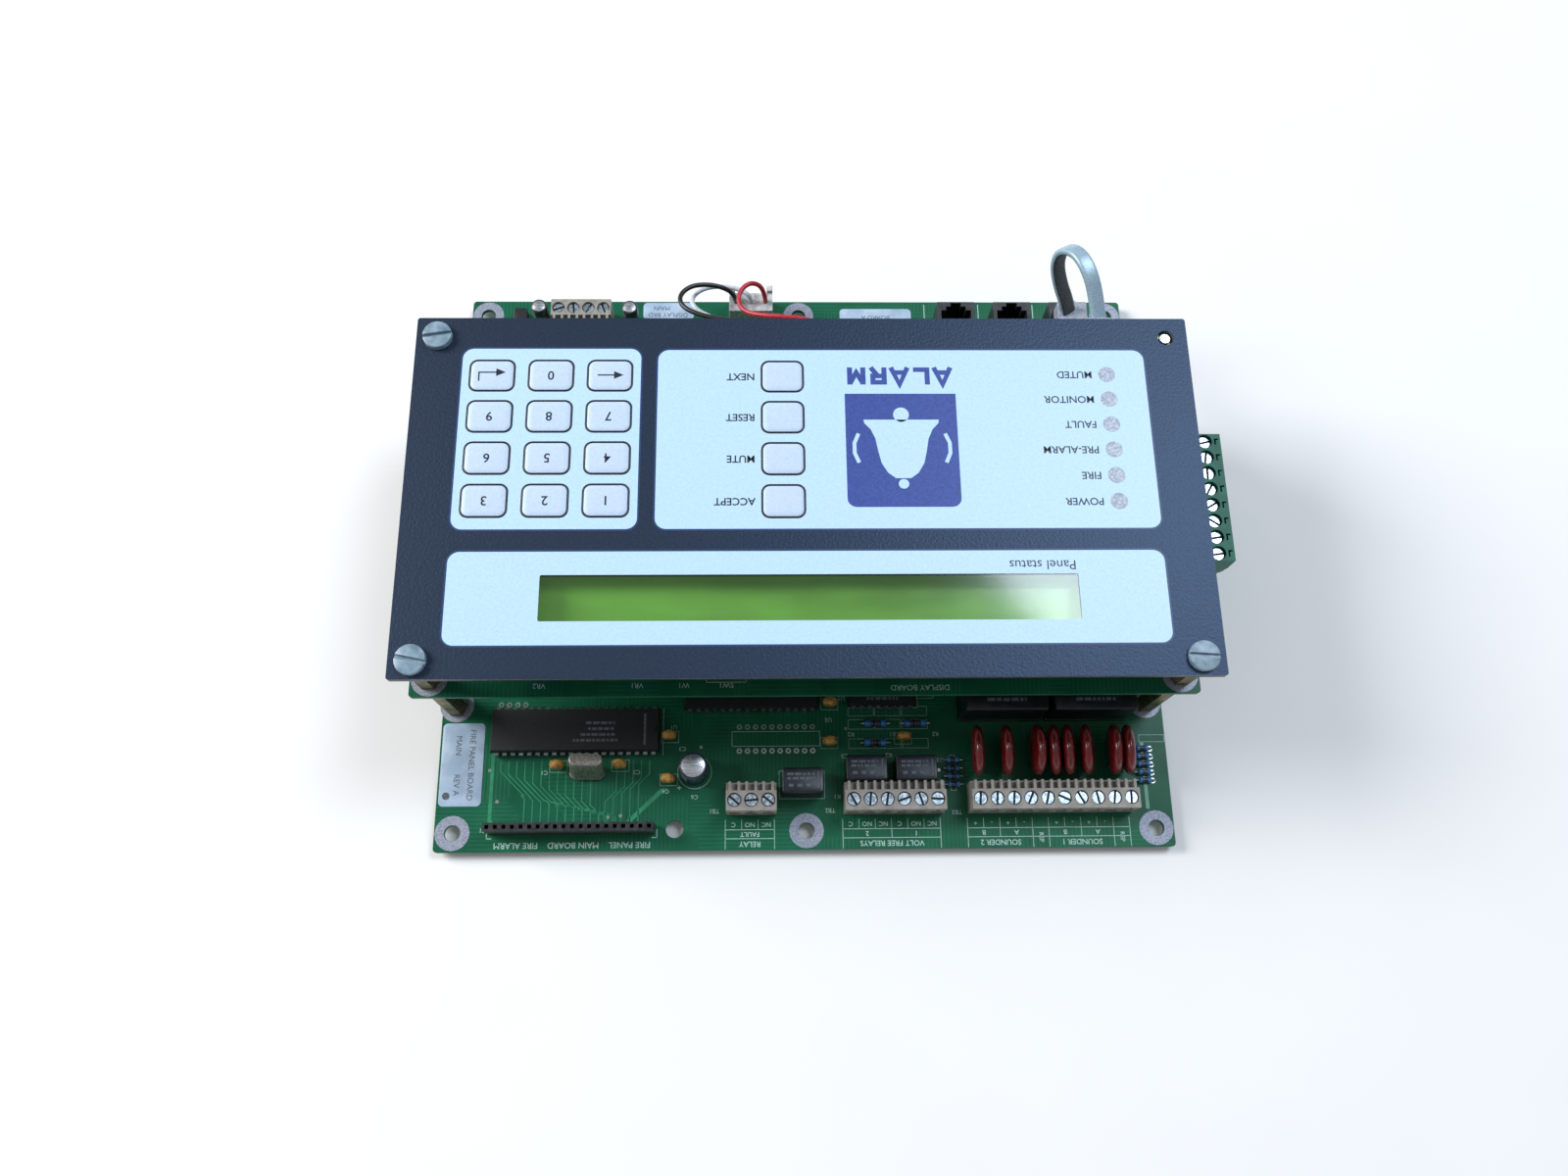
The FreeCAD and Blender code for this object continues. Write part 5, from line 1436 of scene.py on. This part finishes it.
def leg_shape(tree, sizes):
    """Chip leg: a knee out of the package, a wide shoulder and a narrow tail."""
    joined = None
    for width, depth, tall, y, z in ((1.3, 0.9, 0.3, -0.45, 2.25), (1.3, 0.28, 1.5, 0, 1.65),
                                     (0.5, 0.26, 1.0, 0, 0.45)):
        size = add_node(tree, "ShaderNodeVectorMath", {
            0: (width, depth, tall), "Scale": sizes["Unit"]}, operation="SCALE")
        spot = add_node(tree, "ShaderNodeVectorMath", {
            0: (0, y, z), "Scale": sizes["Unit"]}, operation="SCALE")
        cube = add_node(tree, "GeometryNodeMeshCube", {"Size": size.outputs[0]})
        moved = add_node(tree, "GeometryNodeTransform", {
            "Geometry": cube.outputs[0], "Translation": spot.outputs[0]})
        if joined is None:
            joined = add_node(tree, "GeometryNodeJoinGeometry")
        tree.links.new(moved.outputs[0], joined.inputs[0])
    return joined.outputs[0]


class ALARM_OT_chips(AlarmStep, bpy.types.Operator):
    """Moulded chips with their legs"""

    bl_idname = "alarm.chips"
    bl_label = "Chips"

    def execute(self, context):
        for node in ("processor_chip", "logic_chips"):
            form, feet, turns = Form(), [], []
            for _, x, y, half, rows in [c for c in CHIPS if c[0] == node]:
                self.package(form, x, y, half * PIN_PITCH + 1.4, rows - 1.5)
                for n in range(half):
                    for side in (-1, 1):
                        feet.append((x + PIN_PITCH * (n - (half - 1) / 2),
                                     y + side * (rows / 2 - 0.15), board_top))
                        turns.append(90 - 90 * side)
            if node == "logic_chips":
                form.block(left + 17.2, far - 7.2, 4.6, 4.6, board_top, board_top + 4.2, 0.4,
                           0.3)
            form.piece(f"{node}_package", [chip_epoxy, chip_print], slot="chip_epoxy",
                       replaces=(node,))
            repeat_over(f"{node}_legs", feet, leg_shape, {"Unit": 1.0}, tinned,
                        slot="screw_steel", turns=turns)
        return {"FINISHED"}

    def package(self, form, x, y, length, width):
        """Drafted body with the half round notch at its right end."""
        z = board_top
        rings = []
        for level, inset, notch in ((0.5, 0.45, 0), (2.1, 0, 0), (2.4, 0, 0), (3.5, 0.3, 0),
                                    (3.5, 0.3, 1), (4.2, 0.45, 1), (4.3, 0.55, 1)):
            half, side = length / 2 - inset, width / 2 - inset
            ring = [(x + half, y - side, z + level)]
            for n in range(9):
                angle = math.pi * n / 8
                ring.append((x + half - notch * 1.1 * math.sin(angle),
                             y - 1.1 * math.cos(angle), z + level))
            ring += [(x + half, y + side, z + level), (x - half, y + side, z + level),
                     (x - half, y - side, z + level)]
            rings.append(ring)
        form.loft(rings)
        top = z + 4.3
        if length > 45:
            bar(form, x + length / 2 - 4.6, y, 0.7, width * 0.72, top, top + INK, 1)
            for row, reach in ((2.0, 9.0), (0.2, 8.0), (-1.6, 11.0), (-3.4, 14.0)):
                blank_print(form, x + 10.0 - reach / 4, y + row, top, reach, 0.8, 1)
        else:
            for row in (0.9, -0.9):
                blank_print(form, x, y + row, top, length * 0.45, 0.9, 1)


class ALARM_OT_relays(AlarmStep, bpy.types.Operator):
    """Signal relays with printed tops, and the two sounder relays"""

    bl_idname = "alarm.relays"
    bl_label = "Relays"

    def execute(self, context):
        small, large, z = Form(), Form(), board_top
        for x, y in SMALL_RELAYS:
            small.block(x, y, 10.0, 5.5, z, z + 0.6, 0.3, 0.1)
            small.block(x, y, 12.5, 7.5, z + 0.4, z + 10.0, 0.6, 0.45, foot=0.2)
            top = z + 10.0
            small.block(x, y, 11.0, 6.2, top - 0.05, top + 0.02, 0.5, 0.02, 1)
            bar(small, x + 4.7, y, 0.5, 5.0, top + 0.02, top + 0.05, 2)
            for row in (1.8, 0.5):
                blank_print(small, x - 0.6, y + row, top + 0.02, 8.2, 0.8, 2)
            for dx in (-3.6, -1.0, 1.6):
                bar(small, x + dx, y - 1.6, 1.4, 0.9, top + 0.02, top + 0.04, 2)
        for x in LARGE_RELAYS:
            y = near + 45.5
            large.block(x, y, 26.0, 12.8, z, z + 1.4, 0.5, 0.2)
            large.block(x, y, 25.5, 12.3, z + 1.2, z + 15.6, 0.8, 0.5)
            for row, reach, tall in ((2.0, 16.0, 1.4), (-0.6, 18.0, 1.0), (-2.8, 12.0, 1.0)):
                blank_print(large, x, y + row, z + 15.6, reach, tall, 1)
        small.piece("small_relays", [relay_case, relay_print, chip_print], slot="relay_case",
                    replaces=("signal_relays",))
        large.piece("large_relays", [relay_case, chip_print], slot="relay_case",
                    replaces=("sounder_relays",))
        return {"FINISHED"}


class ALARM_OT_varistors(AlarmStep, bpy.types.Operator):
    """Dipped red discs leaning on their legs"""

    bl_idname = "alarm.varistors"
    bl_label = "Varistors"

    def execute(self, context):
        form = Form()
        radius, y = 7.6, near + 28.2
        centre_z = board_top + 2.2 + radius
        lens = [(0.05, -1.62), (2.8, -1.7), (5.0, -1.72), (6.3, -1.5), (7.1, -1.0),
                (7.54, -0.35), (7.6, 0.0), (7.54, 0.35), (7.1, 1.0), (6.3, 1.5), (5.0, 1.72),
                (2.8, 1.7), (0.05, 1.62)]
        for inset, lean in VARISTORS:
            x = right - inset
            tip = Matrix.Rotation(math.radians(90 - lean), 3, "Y")
            form.lathe(lens, (x, y, centre_z), 0, 44, tip)
            foot_x = x + math.sin(math.radians(lean)) * 0.7 * radius
            for side in (-1, 1):
                leg_y = y + side * 3.75
                reach = centre_z - 0.86 * radius * math.cos(math.asin(3.75 / radius))
                form.lathe([(0.4, 0), (0.4, reach - board_top + 1.5)],
                           (foot_x, leg_y, board_top), 1, 12)
                form.lathe([(0.5, 1.0), (0.85, 1.9), (1.25, 3.0), (1.4, 4.2)],
                           (foot_x, leg_y, board_top), 0, 16)
        form.piece("varistor_discs", [varistor_coat, tinned], slot="varistor_coat",
                   replaces=("varistors",))
        return {"FINISHED"}


class ALARM_OT_small_parts(AlarmStep, bpy.types.Operator):
    """Crystal, capacitors and resistors"""

    bl_idname = "alarm.small_parts"
    bl_label = "Small parts"

    def execute(self, context):
        self.crystal()
        self.cans()
        self.drops()
        self.resistors()
        return {"FINISHED"}

    def crystal(self):
        """Oval can with a welded flange, leaning back."""
        form = Form()
        lean = (Matrix.Translation((left + 45.7, near + 23.6, board_top))
                @ Matrix.Rotation(math.radians(-11), 4, Vector((1, -0.4, 0))))
        skin = ((11.0, 4.7, 1.0), (11.0, 4.7, 1.25), (10.8, 4.5, 1.45), (10.3, 4.0, 1.7),
                (10.2, 3.9, 1.9), (10.2, 3.9, 12.2), (10.0, 3.7, 12.6), (9.5, 3.2, 12.85),
                (8.9, 2.6, 12.9))
        form.loft([[(x, y, z) for x, y in rounded(0, 0, length, width, width / 2, 8)]
                   for length, width, z in skin], 0, lean)
        for side in (-1, 1):
            form.loft([[(x, y, z) for x, y in circle(side * 2.44, 0, 0.25, 10)]
                       for z in (0.1, 1.1)], 1, lean)
        form.piece("crystal", [crystal_steel, tinned], slot="crystal_steel",
                   replaces=("crystal_can",))

    def cans(self):
        """Sleeved electrolytic capacitors with a bare aluminium top."""
        form = Form()
        cans = ((4.2, 11.5, left + 78.8, near + 23.9, 0), (2.7, 11.0, left + 24.7, far - 8.2, 1),
                (2.7, 11.0, left + 55.4, far - 8.6, 1))
        for radius, height, x, y, sleeve in cans:
            form.lathe([(radius - 0.5, 0.0), (radius - 0.3, 0.25), (radius, 0.6),
                        (radius, 1.5), (radius - 0.25, 1.8), (radius - 0.3, 2.0),
                        (radius - 0.25, 2.2), (radius, 2.5), (radius, height - 0.7),
                        (radius - 0.12, height - 0.25), (radius - 0.4, height - 0.05),
                        (radius - 0.75, height - 0.03)], (x, y, board_top), sleeve, 40)
            top = board_top + height
            form.loft([[(px, py, z) for px, py in circle(x, y, r, 36)] for r, z in
                       ((radius - 0.5, top - 0.4), (radius - 0.5, top - 0.12),
                        (radius - 0.7, top - 0.02))], 2)
            for turn in (50, 110, 170):
                spin = Matrix.Translation((x, y, 0)) @ Matrix.Rotation(
                    math.radians(turn), 4, "Z")
                form.loft([[(sx * 0.72 * radius, sy * 0.09, z) for sx, sy in
                            ((1, 1), (-1, 1), (-1, -1), (1, -1))]
                           for z in (top - 0.05, top + 0.0)], 5, spin)
            arc = [math.radians(200 + 8 * n) for n in range(6)]
            form.loft([[(x + r * math.cos(a), y + r * math.sin(a), z)
                        for r, angles in ((radius + 0.02, arc), (radius - 0.1, arc[::-1]))
                        for a in angles] for z in (board_top + 2.7, top - 0.9)], 4)
        form.piece("sleeved_cans", [blue_sleeve, black_sleeve, can_aluminium, legend_ink,
                                    chip_print, zinc_steel],
                   slot="capacitor_sleeve", replaces=("electrolytic_capacitors",))

    def drops(self):
        """Dipped drops, coat running a little way down the legs."""
        form = Form()
        lens = [(0.05, -1.35), (1.2, -1.36), (1.75, -1.15), (2.15, -0.7), (2.3, 0.0),
                (2.15, 0.7), (1.75, 1.15), (1.2, 1.36), (0.05, 1.35)]
        upright = Matrix.Rotation(math.pi / 2, 3, "X")
        for x, y in SMALL_DROPS:
            form.lathe(lens, (x, y, board_top + 3.6), 0, 28, upright)
            for side in (-1, 1):
                form.lathe([(0.25, 0), (0.25, 2.0)], (x + side * 1.27, y, board_top), 1, 8)
                form.lathe([(0.35, 0.8), (0.7, 1.6), (0.9, 2.6)],
                           (x + side * 1.27, y, board_top), 0, 12)
        form.piece("dipped_drops", [ceramic_dip, tinned], slot="capacitor_ceramic",
                   replaces=("ceramic_capacitors",))

    def resistors(self):
        """Lacquered barrels with swollen ends, colour stripes and bent leads."""
        form = Form()
        sideways = Matrix.Rotation(math.pi / 2, 3, "Y")
        for number, (length, radius, x, y) in enumerate(RESISTORS):
            half, waist = length / 2, radius * 0.82
            z = board_top + radius + 0.3
            cap = length * 0.24
            form.lathe([(0.3, -half), (radius * 0.8, -half + 0.12), (radius, -half + 0.4),
                        (radius, -half + cap - 0.2), (waist, -half + cap + 0.25),
                        (waist, half - cap - 0.25), (radius, half - cap + 0.2),
                        (radius, half - 0.4), (radius * 0.8, half - 0.12), (0.3, half)],
                       (x, y, z), 0, 20, sideways)
            width = length * 0.06
            for stripe in range(4):
                along = (stripe - 1.5) * length * 0.15
                form.lathe([(waist - 0.1, along - width), (waist + 0.03, along - width),
                            (waist + 0.03, along + width), (waist - 0.1, along + width)],
                           (x, y, z), 2 + (number + stripe) % 2, 20, sideways)
            for side in (-1, 1):
                end, foot = x + side * (half - 0.1), x + side * (half + 1.2)
                bent_rod(form, [(end, y, z), (foot - side * 0.25, y, z),
                                (foot, y, z - 0.25), (foot, y, board_top)], 0.28, 1)
        form.piece("barrel_resistors", [resistor_lacquer, tinned, brown_stripe, black_stripe],
                   slot="resistor_coat", replaces=("resistors",))


def bent_rod(form, route, radius, finish_number=0, sides=8):
    """Round rod along a route that lies in a plane of constant y, mitred at its bends."""
    route = [Vector(spot) for spot in route]
    across = Vector((0, 1, 0))
    rings = []
    for i, spot in enumerate(route):
        back = (spot - route[i - 1]).normalized() if i else None
        ahead = (route[i + 1] - spot).normalized() if i + 1 < len(route) else None
        along = ((back or ahead) + (ahead or back)).normalized()
        out = along.cross(across) / along.dot(ahead or back)
        rings.append([spot + radius * (across * math.cos(2 * math.pi * n / sides)
                                       + out * math.sin(2 * math.pi * n / sides))
                      for n in range(sides)])
    form.loft(rings, finish_number)


# ---------------------------------------------------------------- connectors and display board
NEAR_TURNS = (-40, 5, -38, -62, 84, 80, 18, -72, -2, 85, 86, 84, 66, 75, -25, -62, -80, 82, 88)
FAR_TURNS = (20, 95, 60, 110)
PLUG_TURNS = (8, 10, -35, 30, 60, 88, 80, 12)


class ALARM_OT_connector_details(AlarmStep, bpy.types.Operator):
    """Contacts of the jacks, block numbers, marks on the display board, and painted shade round
    the clamping screws
    """

    bl_idname = "alarm.connector_details"
    bl_label = "Connector details"

    def execute(self, context):
        contacts = [(x + 1.02 * (n - 2.5), 71.2, board_top + 14.2) for x in JACKS[:2]
                    for n in range(6)]
        repeat_over("jack_contacts", contacts, bar_shape,
                    {"Length": 0.4, "Width": 3.6, "Height": 0.35}, gold_plate,
                    slot="jack_black")
        self.display_print()
        self.block_numbers()
        self.paint_screw_shade()
        return {"FINISHED"}

    def paint_screw_shade(self):
        """Painted shade: dark bars in the slots and dark rings round the head of each clamping
        screw.
        """
        places = [(first + POLE_PITCH * n, near + 13.75) for first, marks, *_ in
                  TERMINAL_TABLES for n in range(len(marks))]
        places += [(FAR_BLOCK_X + POLE_PITCH * n, FAR_BLOCK_Y) for n in range(4)]
        head_top = span("terminal_screws")[1].z
        turns = list(NEAR_TURNS + FAR_TURNS)
        radius = 2.05
        self.dark(places, turns, head_top, radius, "stack", "block_screw_painted_shade")
        x = span("screw_plug")[1].x - 10.8 + 6.1
        spot = 2.2 - POLE_PITCH * 3.5
        places = [(x, spot + POLE_PITCH * n) for n in range(8)]
        self.dark(places, list(PLUG_TURNS), span("plug_screws")[1].z, radius, "screw_plug",
                  "plug_screw_painted_shade")

    def dark(self, places, turns, head_top, radius, body, name):
        # Painted shade: a dark bar on the floor of each slot
        bars = [(x, y, head_top - 0.66) for x, y in places]
        repeat_over(name + "_slots", bars, bar_shape,
                    {"Length": 2 * radius - 0.1, "Width": 0.62, "Height": 0.05}, screw_shade_paint,
                    body, "screw_steel", turns)
        # Painted shade: a dark ring on the rim of each screw head
        rings = [(x, y, head_top - 0.02) for x, y in places]
        repeat_over(name + "_gaps", rings, ring_shape,
                    {"Middle radius": radius - 0.1, "Width": 0.28, "Height": 0.08}, screw_shade_paint,
                    body, "screw_steel")

    def display_print(self):
        ink, z = Form(), deck_top
        y = deck_low.y + 3.2
        for word, x in (("VR2", left + 35.7), ("VR1", left + 63.7), ("W1", left + 77.1),
                        ("SW1", left + 89.3)):
            letter(ink, word, x, y, z, 1.5, thick=INK)
        letter(ink, "DISPLAY BOARD", 32.0, y - 1.0, z, 1.6, thick=INK)
        silk_box(ink, left + 74.4, left + 79.8, deck_low.y + 5.0, deck_low.y + 8.0, z)
        silk_box(ink, left + 83.6, left + 95.0, deck_low.y + 4.0, deck_low.y + 11.4, z)
        ink.piece("display_board_silk", [silk_ink], slot="board_laminate")

    def block_numbers(self):
        """Numbers moulded on the front of each block, under its poles."""
        form = Form()
        upright = Matrix.Rotation(math.pi / 2, 4, "X")
        for first, marks, *_ in TERMINAL_TABLES:
            for n in range(len(marks)):
                letter(form, str(n % 4 + 1), first + POLE_PITCH * n, near + 10.5,
                       board_top + 7.7, 1.5, thick=0.03, turn=upright)
        form.piece("block_numbers", [legend_ink], slot="terminal_grey")


SOFTENED = {
    # node and the radius left on its edges, in millimetres
    "terminal_blocks": 0.12, "screw_plug": 0.18, "plug_header": 0.15, "cable_jacks": 0.2,
    "cable_plugs": 0.15, "wire_connectors": 0.2, "socket_strip": 0.12, "front_plate": 0.2,
    "lcd_frame": 0.3, "trimmer_bodies": 0.15, "dip_switch": 0.12, "lower_standoffs": 0.15,
    "upper_standoffs": 0.15, "base_screws": 0.15, "terminal_screws": 0.08,
    "plug_screws": 0.08,
}


# ---------------------------------------------------------------- stage
class ALARM_OT_stage(AlarmStep, bpy.types.Operator):
    """Floor, soft lights and the camera"""

    bl_idname = "alarm.stage"
    bl_label = "Stage"

    def execute(self, context):
        looks = settings("alarm_stage")
        scene = context.scene
        floor_z = cad_box[0].z
        reach = 4.0
        mesh = bpy.data.meshes.new("studio_floor")
        mesh.from_pydata([(-reach, -reach, floor_z), (reach, -reach, floor_z),
                          (reach, reach, floor_z), (-reach, reach, floor_z)], [],
                         [(0, 1, 2, 3)])
        mesh.materials.append(finish(floor_paint))
        floor = bpy.data.objects.new("studio_floor", mesh)
        scene.collection.objects.link(floor)
        world = bpy.data.worlds.new("even_light")
        world.use_nodes = True
        world.node_tree.nodes.clear()
        sky = add_node(world.node_tree, "ShaderNodeBackground", {
            "Color": linear("#fbfcff"), "Strength": looks.sky})
        add_node(world.node_tree, "ShaderNodeOutputWorld", {"Surface": sky.outputs[0]})
        scene.world = world
        scene.view_settings.view_transform = "Standard"
        for name, spot, size, power, tone in (
                ("far_left_softbox", (-1.4, 0.45, 0.98), 0.8, looks.key, "#ffffff"),
                ("cool_window", (0.66, 0.5, 1.35), 0.62, looks.window, "#e2f0ff")):
            lamp = bpy.data.lights.new(name, "AREA")
            lamp.shape = "SQUARE"
            lamp.size = size
            lamp.energy = power
            lamp.color = linear(tone)[:3]
            light = bpy.data.objects.new(name, lamp)
            light.location = spot
            light.rotation_euler = (-Vector(spot)).to_track_quat("-Z", "Y").to_euler()
            scene.collection.objects.link(light)
        camera = bpy.data.cameras.new("camera")
        camera.sensor_width = 36.0
        camera.lens = looks.lens
        camera.clip_start = 0.01
        eye = bpy.data.objects.new("camera", camera)
        eye.location = (-0.0155, -0.1362, 0.3854)
        eye.rotation_euler = [math.radians(a) for a in (18.08, -1.21, -0.62)]
        scene.collection.objects.link(eye)
        scene.camera = eye
        return {"FINISHED"}


class ALARM_OT_cad_finishes(AlarmStep, bpy.types.Operator):
    """Materials of the CAD pieces that show as they are"""

    bl_idname = "alarm.cad_finishes"
    bl_label = "Materials of the CAD pieces"

    def execute(self, context):
        for node, recipe in CAD_FINISHES.items():
            coat(node, recipe)
        for number in (1, 2):
            coat(f"trimmer_rotor_{number}", rotor_white)
        for number in range(1, 5):
            coat(f"switch_slider_{number}", rotor_white)
        for node in KEY_NODES:
            coat(node, key_film)
        for node, radius in SOFTENED.items():
            soften(node, radius)
        return {"FINISHED"}


STEPS = (
    ALARM_OT_stage,
    ALARM_OT_cords,
    ALARM_OT_cad_finishes,
    ALARM_OT_face_print,
    ALARM_OT_keys,
    ALARM_OT_plate_screws,
    ALARM_OT_board_print,
    ALARM_OT_pads,
    ALARM_OT_chips,
    ALARM_OT_relays,
    ALARM_OT_varistors,
    ALARM_OT_small_parts,
    ALARM_OT_connector_details,
)


class ALARM_PT_panel(bpy.types.Panel):
    """Lists the steps and the sizes and colours they use"""

    bl_idname = "ALARM_PT_panel"
    bl_label = "Alarm Panel"
    bl_space_type = "VIEW_3D"
    bl_region_type = "UI"
    bl_category = "Alarm Panel"

    def draw(self, context):
        for step in STEPS:
            self.layout.operator(step.bl_idname)
        for name, group in SETTINGS.items():
            box = self.layout.box()
            for prop in group.__annotations__:
                box.prop(getattr(context.scene, name), prop)


def register():
    for group in SETTINGS.values():
        bpy.utils.register_class(group)
    for name, group in SETTINGS.items():
        setattr(bpy.types.Scene, name, PointerProperty(type=group))
    for step in STEPS + (ALARM_PT_panel,):
        bpy.utils.register_class(step)


def unregister():
    for step in reversed(STEPS + (ALARM_PT_panel,)):
        bpy.utils.unregister_class(step)
    for name, group in reversed(SETTINGS.items()):
        delattr(bpy.types.Scene, name)
        bpy.utils.unregister_class(group)


def main():
    register()
    for step in STEPS:
        family, name = step.bl_idname.split(".")
        getattr(getattr(bpy.ops, family), name)()


if __name__ == "__main__":
    main()
